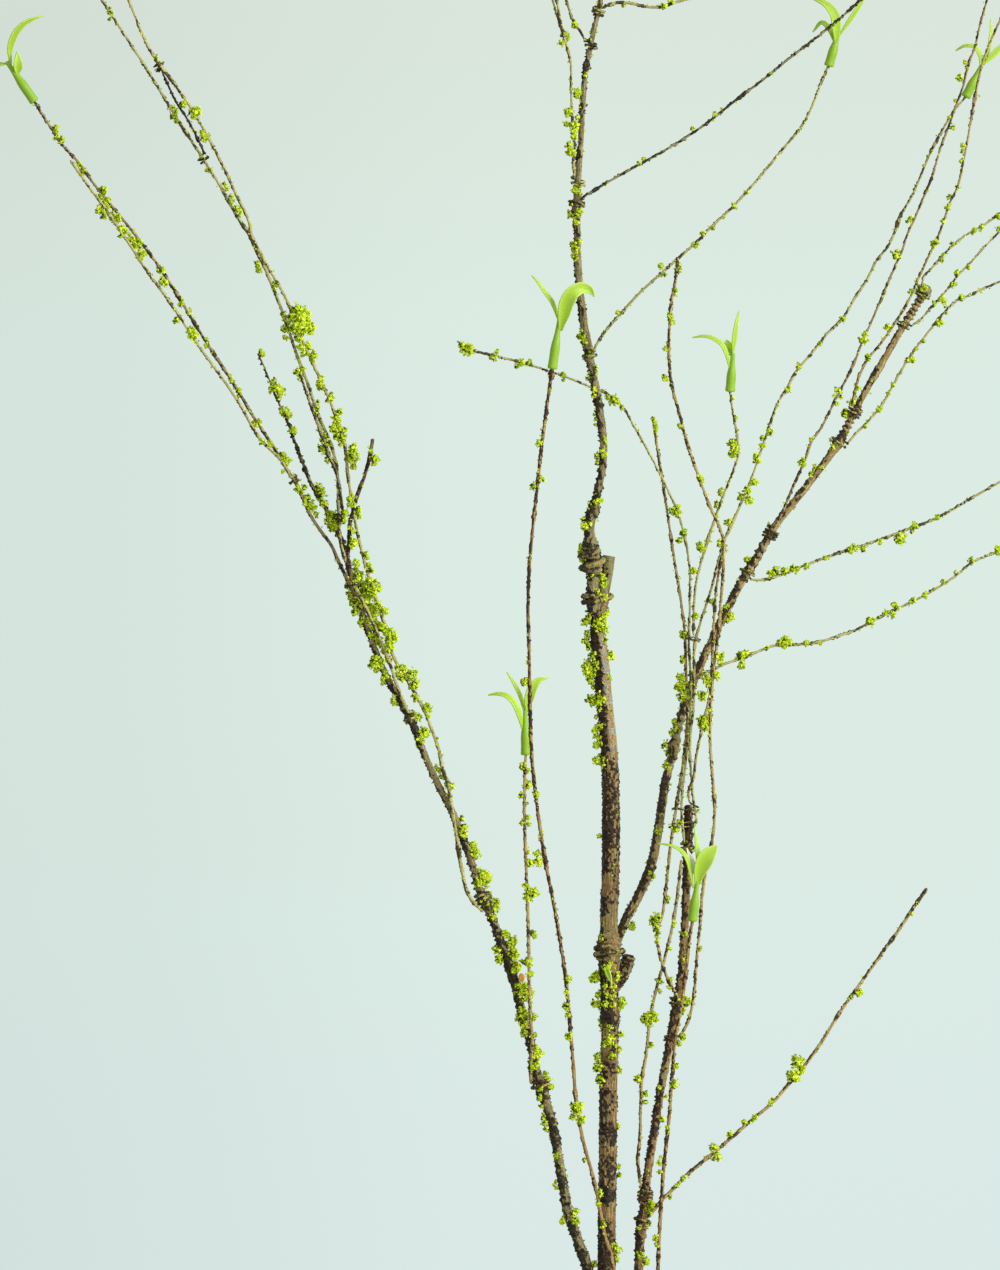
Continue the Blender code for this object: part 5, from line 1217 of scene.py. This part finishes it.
def mossPiece(name, strands, draw, fuzz):
    # fuzz: groups of single crumbs on each cm of the strand
    path, girth = strands[name]
    places, sizes, tones = [], [], []
    spots = list(mossSpots.get(name, ()))
    more = mossMore.get(name, 0.45)
    for across, down, size in list(spots):
        extra = int(more) + (draw.random() < more - int(more))
        for _ in range(extra):
            turn, reach = draw.uniform(0, 2 * math.pi), draw.uniform(0.8, 1.7) * size
            spots.append((across + 0.6 * math.cos(turn) * reach,
                          down + math.sin(turn) * reach * 1.3, size * draw.uniform(0.45, 0.85)))
    for across, down, size in spots:
        place = plan((across, down))
        row = int(np.argmin(np.linalg.norm(path[:, :2] - place, axis=1)))
        offset = place - path[row, :2]
        far = np.linalg.norm(offset)
        radius = size * planUnit * mossSize.get(name, 1.0)
        reach = girth[row] + 0.95 * radius
        if far > reach:
            offset, far = offset * reach / far, reach
        up = math.sqrt(max(girth[row]**2 - min(far, girth[row])**2, 0)) * 0.9
        centre = path[row] + np.array([*offset, up + draw.uniform(-0.1, 0.25) * radius])
        turn = draw.uniform(0, 40)
        for _ in range(round(mossLook["fewest"] + mossLook["crumbsPerArea"] * radius**2)):
            away = np.array([draw.gauss(0, 1) for _ in range(3)])
            away /= np.linalg.norm(away)
            lump = 0.86 + 0.55 * noise.noise(Vector(away * 1.9) + Vector((turn, 0, 0)))
            depth = draw.random() ** 0.42
            spot = centre + away * radius * lump * depth * 0.92
            near = np.linalg.norm(path - spot, axis=1)
            if (near < girth * 0.75).any() or spot[2] < 0.3:
                continue
            places.append(spot)
            sizes.append(draw.uniform(*mossLook["crumb"]) * (0.74 + 0.10 * radius))
            # tone: painted shade on crumbs deep in a tuft, painted light on crumbs facing up and
            # to the right, and a random spread
            tones.append(0.02 + 0.55 * depth**2 + 0.26 * away[2] + 0.20 * away[0]
                         + draw.uniform(-0.20, 0.20))
    way = alongPath(path)
    for _ in range(round(fuzz * way[-1] / 10)):
        row = draw.randrange(len(path) - 1)
        forward = path[row + 1] - path[row]
        forward /= max(np.linalg.norm(forward), 1e-6)
        away = np.cross(forward, [draw.gauss(0, 1) for _ in range(3)])
        away /= max(np.linalg.norm(away), 1e-6)
        for _ in range(draw.choice((1, 1, 2, 3, 5))):
            spread = np.array([draw.uniform(-0.5, 0.5) for _ in range(3)])
            spot = path[row] + away * (girth[row] + 0.15) + spread
            if spot[2] < 0.3:
                continue
            places.append(spot)
            sizes.append(draw.uniform(0.26, 0.55))
            tones.append(draw.uniform(0.25, 0.95))
    if not places:
        return None
    vertices, faces, values = [], [], []
    for k, (spot, size, tone) in enumerate(zip(places, sizes, tones)):
        vertices.append(shapes[draw.randrange(len(shapes))] * size + spot)
        faces.append(shapeFaces + 6 * k)
        values.append(np.full(6, tone))
    mesh = bpy.data.meshes.new(name + "Moss")
    mesh.from_pydata((np.vstack(vertices) * 0.001).tolist(), [], np.vstack(faces).tolist())
    moss = bpy.data.objects.new(name + "Moss", mesh)
    bpy.context.scene.collection.objects.link(moss)
    setAttribute(mesh, "tone", np.clip(np.concatenate(values), 0, 1))
    finishPiece(moss, None, [mossMaterial], smooth=False)
    return moss


leafLook = dict(green=(160, 196, 52), pale=(196, 224, 104), shade=(112, 160, 36))


def blade(name, points, width, turn, widest=0.4):
    midrib = curveThrough(points, 0.5)
    rows, columns = 30, 8
    bpy.ops.mesh.primitive_grid_add(x_subdivisions=columns, y_subdivisions=rows, size=1)
    leaf = bpy.context.object
    leaf.name = name
    tones = []
    for vertex in leaf.data.vertices:
        share, side = vertex.co.y + 0.5, vertex.co.x * 2
        index = share * (len(midrib) - 1)
        low = min(int(index), len(midrib) - 2)
        centre = midrib[low] + (midrib[low + 1] - midrib[low]) * (index - low)
        forward = midrib[min(low + 4, len(midrib) - 1)] - midrib[max(low - 4, 0)]
        forward /= np.linalg.norm(forward)
        across = np.cross([0, 0, 1.0], forward)
        across /= np.linalg.norm(across)
        up = np.cross(forward, across)
        tilt = math.radians(turn)
        wide = math.cos(tilt) * across + math.sin(tilt) * up
        cup = -math.sin(tilt) * across + math.cos(tilt) * up
        if share < widest:
            half = width / 2 * (0.30 + 0.70 * math.sin(math.pi / 2 * share / widest) ** 1.5)
        else:
            half = width / 2 * math.cos((share - widest) / (1 - widest) * math.pi / 2) ** 0.8
        half = max(half, 0.3)
        place = centre + wide * side * half + cup * (side * side) * half * 0.35
        vertex.co = Vector(place) * 0.001
        tones.append(0.38 + 0.28 * abs(side) + 0.22 * share)
    setAttribute(leaf.data, "tone", tones)
    thick = leaf.modifiers.new("thickness", "SOLIDIFY")
    thick.thickness = 0.0007
    thick.offset = 0
    thick.use_even_offset = False
    bevel = leaf.modifiers.new("softEdge", "SUBSURF")
    bevel.levels = bevel.render_levels = 1
    for modifier in ("thickness", "softEdge"):
        bpy.ops.object.modifier_apply(modifier=modifier)
    return leaf


def makeSprout(name, strands):
    spec = sproutPlan[name]
    path, _ = strands[spec["on"]]
    axis = sproutAxis(spec["on"], path)
    foot = path[-1]
    length = np.linalg.norm(plan(spec["neck"]) - foot[:2])
    profile = [(1.95, 0.0), (2.2, 0.3), (2.3, 0.9), (2.2, 1.5), (2.1, length * 0.2),
               (2.15, length * 0.4), (1.95, length * 0.52), (1.6, length * 0.62),
               (1.3, length * 0.72), (1.1, length * 0.85), (0.95, length + 0.6)]
    stations = np.array([place for _, place in profile])
    fine = np.linspace(0, stations[-1], 40)
    radii = np.interp(fine, stations, [radius for radius, _ in profile])
    body = sweep(name + "Leaves", foot + axis * fine[:, None], radii, 5)
    setAttribute(body.data, "tone", np.full(len(body.data.vertices), 0.26))
    leaves = []
    for points, *shape in spec["leaves"]:
        way = [np.append(plan(point[:2]), foot[2] + axis[2] * length + point[2])
               for point in points]
        way[0][2] = foot[2] + axis[2] * length * 0.8
        leaves.append(blade(name + "Blade", way, *shape))
    joinInto(body, leaves)
    finishPiece(body, name, [leafMaterial])


# The bead's orange skin, the darker colour of its slit, which is painted shade in the groove, and
# the lightest colour, a painted highlight on its top.
seedLook = dict(skin=(250, 160, 48), slit=(128, 52, 22), paintedHighlight=(250, 202, 120), radius=1.6,
                wide=0.92, long=1.24, place=(521, 978), off=0.9)


def makeSeed(strands):
    path, girth = strands["left_limb"]
    place = plan(seedLook["place"])
    row = int(np.argmin(np.linalg.norm(path[:, :2] - place, axis=1)))
    radius = seedLook["radius"]
    away = np.array([*(place - path[row, :2]), 2.4])
    away /= np.linalg.norm(away)
    centre = path[row] + away * (girth[row] + radius + seedLook["off"])
    bpy.ops.mesh.primitive_uv_sphere_add(segments=32, ring_count=20, radius=radius * 0.001)
    seed = bpy.context.object
    seed.name = "seedBead"
    tones = []
    for vertex in seed.data.vertices:
        slit = (math.exp(-(vertex.co.x * 1000 / 0.28)**2) * (vertex.co.z > 0)
                * max(0, 1 - abs(vertex.co.y * 1000) / 1.3))
        vertex.co *= 1 - 0.14 * slit
        # tone: painted light on the top of the bead and painted shade in its slit
        tones.append(0.50 - 0.60 * slit + 0.30 * vertex.co.z * 1000 / radius)
        vertex.co.x *= seedLook["wide"]
        vertex.co.y *= seedLook["long"]
        vertex.co += Vector(centre) * 0.001
    setAttribute(seed.data, "tone", np.clip(tones, 0, 1))
    skin = tintMaterial("seedSkin", seedLook["slit"], seedLook["skin"], seedLook["paintedHighlight"],
                        900.0, 0.35, 0.15, 0.25)
    finishPiece(seed, "seed_bead", [skin])


# points: plan point, and mm over the tip of its twig.
scaleLook = dict(deep=(176, 186, 140), middle=(222, 226, 190), light=(240, 240, 220), width=2.8,
                 turn=5, points=[((696.5, 878), 0.8), ((691.5, 862), 1.4), ((686.5, 848), 1.4)])


def makeBudScale(strands):
    path, _ = strands["twig_front_right"]
    level = path[-1, 2]
    points = [np.append(plan(point), level + rise) for point, rise in scaleLook["points"]]
    scale = blade("budScale", points, scaleLook["width"], scaleLook["turn"])
    skin = tintMaterial("scaleSkin", scaleLook["deep"], scaleLook["middle"], scaleLook["light"],
                        900.0, 0.55, 0.2)
    finishPiece(scale, "bud_scale", [skin])


mossLeafLook = dict(row=975, width=2.7, turn=25,
                    points=[((606, 967), 1.4), ((608.5, 974), 2.6), ((611.5, 983), 2.4)])


def makeMossLeaf(strands):
    # one pointed leaf that stands in the moss of the knot
    path, girth = strands["main_stem"]
    row = int(np.argmin(np.abs(path[:, 1] - plan((0, mossLeafLook["row"]))[1])))
    level = path[row, 2] + girth[row]
    points = [np.append(plan(point), level + rise) for point, rise in mossLeafLook["points"]]
    leaf = blade("mossLeaf", points, mossLeafLook["width"], mossLeafLook["turn"])
    finishPiece(leaf, None, [leafMaterial])


# The floor is not lit but glows with these colours, painted light on which no shadow falls; it is
# dimmed towards its left edge by the last value.
floorLook = dict(top=(218, 230, 220), middle=(220, 236, 228), bottom=(218, 233, 230), left=0.965)
lightLook = dict(sun=3.3, sunAngle=40, sunFrom=(0.80, 0.30, 0.58), fill=0.75, fillAngle=70,
                 world=0.36, worldColor=(232, 238, 236))


def makeStage():
    bpy.ops.mesh.primitive_plane_add(size=1)
    floor = bpy.context.object
    floor.name = "floor"
    for vertex in floor.data.vertices:
        vertex.co = Vector((vertex.co.x * 14 - 0.05, vertex.co.y * 14 + 0.35, 0))
    material = bpy.data.materials.new("paleFloor")
    material.use_nodes = True
    tree = material.node_tree
    shader = tree.nodes["Principled BSDF"]
    # an unlit floor that glows: painted light, so no shadow falls on it
    shader.inputs["Base Color"].default_value = (0, 0, 0, 1)
    shader.inputs["Roughness"].default_value = 1.0
    shader.inputs["Specular IOR Level"].default_value = 0.0
    shader.inputs["Emission Strength"].default_value = 1.0
    spread = node(tree, "SeparateXYZ")
    link(tree, node(tree, "TexCoord").outputs["Object"], spread.inputs[0])
    lower = mixColors(tree, ramp(tree, spread.outputs[1], 0.06, 0.36),
                      linear(floorLook["bottom"]), linear(floorLook["middle"]))
    whole = mixColors(tree, ramp(tree, spread.outputs[1], 0.44, 0.66), lower,
                      linear(floorLook["top"]))
    dim = linear((255 * floorLook["left"],) * 3)
    shade = mixColors(tree, ramp(tree, spread.outputs[0], -0.30, -0.02), dim, (1, 1, 1, 1))
    link(tree, mixColors(tree, 1.0, whole, shade, "MULTIPLY"), shader.inputs["Emission Color"])
    floor.data.materials.append(material)

    sun = bpy.data.lights.new("softSun", "SUN")
    sun.energy = lightLook["sun"]
    sun.angle = math.radians(lightLook["sunAngle"])
    lamp = bpy.data.objects.new("softSun", sun)
    bpy.context.scene.collection.objects.link(lamp)
    lamp.rotation_euler = Vector(lightLook["sunFrom"]).to_track_quat("Z", "Y").to_euler()

    above = bpy.data.lights.new("frontFill", "SUN")
    above.energy = lightLook["fill"]
    above.angle = math.radians(lightLook["fillAngle"])
    bpy.context.scene.collection.objects.link(bpy.data.objects.new("frontFill", above))

    world = bpy.data.worlds.new("studio")
    bpy.context.scene.world = world
    world.use_nodes = True
    background = world.node_tree.nodes["Background"]
    background.inputs[0].default_value = linear(lightLook["worldColor"])
    background.inputs[1].default_value = lightLook["world"]


# picture: width and height of the photograph in plan units. distance, level: metres.
view = dict(picture=(1000, 1270), distance=12.0, level=0.022)


def makeCamera():
    wide, high = view["picture"]
    camera = bpy.data.cameras.new("camera")
    camera.sensor_fit = "VERTICAL"
    camera.sensor_height = 36
    camera.lens = camera.sensor_height * view["distance"] / (high * planUnit * 0.001)
    camera.clip_end = 100
    holder = bpy.data.objects.new("camera", camera)
    bpy.context.scene.collection.objects.link(holder)
    centre = plan((wide / 2, high / 2)) * 0.001
    holder.location = (centre[0], centre[1], view["distance"] + view["level"])
    bpy.context.scene.camera = holder
    bpy.context.scene.view_settings.view_transform = "Standard"


barkGroup = makeBarkGroup()
tintGroup = makeTintGroup()
cutWood = makeCutWood()
mossMaterial = tintMaterial("moss", mossLook["deep"], mossLook["middle"], mossLook["light"],
                            1300.0, 0.9, 0.5)
mossShader = mossMaterial.node_tree.nodes["Principled BSDF"]
mossShader.inputs["Specular IOR Level"].default_value = mossLook["sheen"]
leafMaterial = tintMaterial("sproutLeaf", leafLook["shade"], leafLook["green"], leafLook["pale"],
                            120.0, 0.38, 0.0, 0.12)

strands = layAll()
print("stems laid:", len(strands))
draw = random.Random(11)
shapes, shapeFaces = crumbShapes(draw)
for number, name in enumerate(strands):
    makeStrand(name, strands, number * 1.31 + 0.5)
print("bark done")
for name in strands:
    if name not in bindingPlan:
        mossPiece(name, strands, draw, mossLook["fuzz"])
print("moss done")
for name in sproutPlan:
    makeSprout(name, strands)
makeSeed(strands)
makeBudScale(strands)
makeMossLeaf(strands)
print("sprouts done")
dressed = [piece for piece in bpy.data.objects if piece.name.endswith(("Bark", "Moss"))]
counts = {piece.name: sum(len(face.vertices) - 2 for face in piece.data.polygons)
          for piece in dressed}
print("triangles:", sum(counts.values()), max(counts.values()),
      sum(value for key, value in counts.items() if key.endswith("Moss")))
makeStage()
makeCamera()
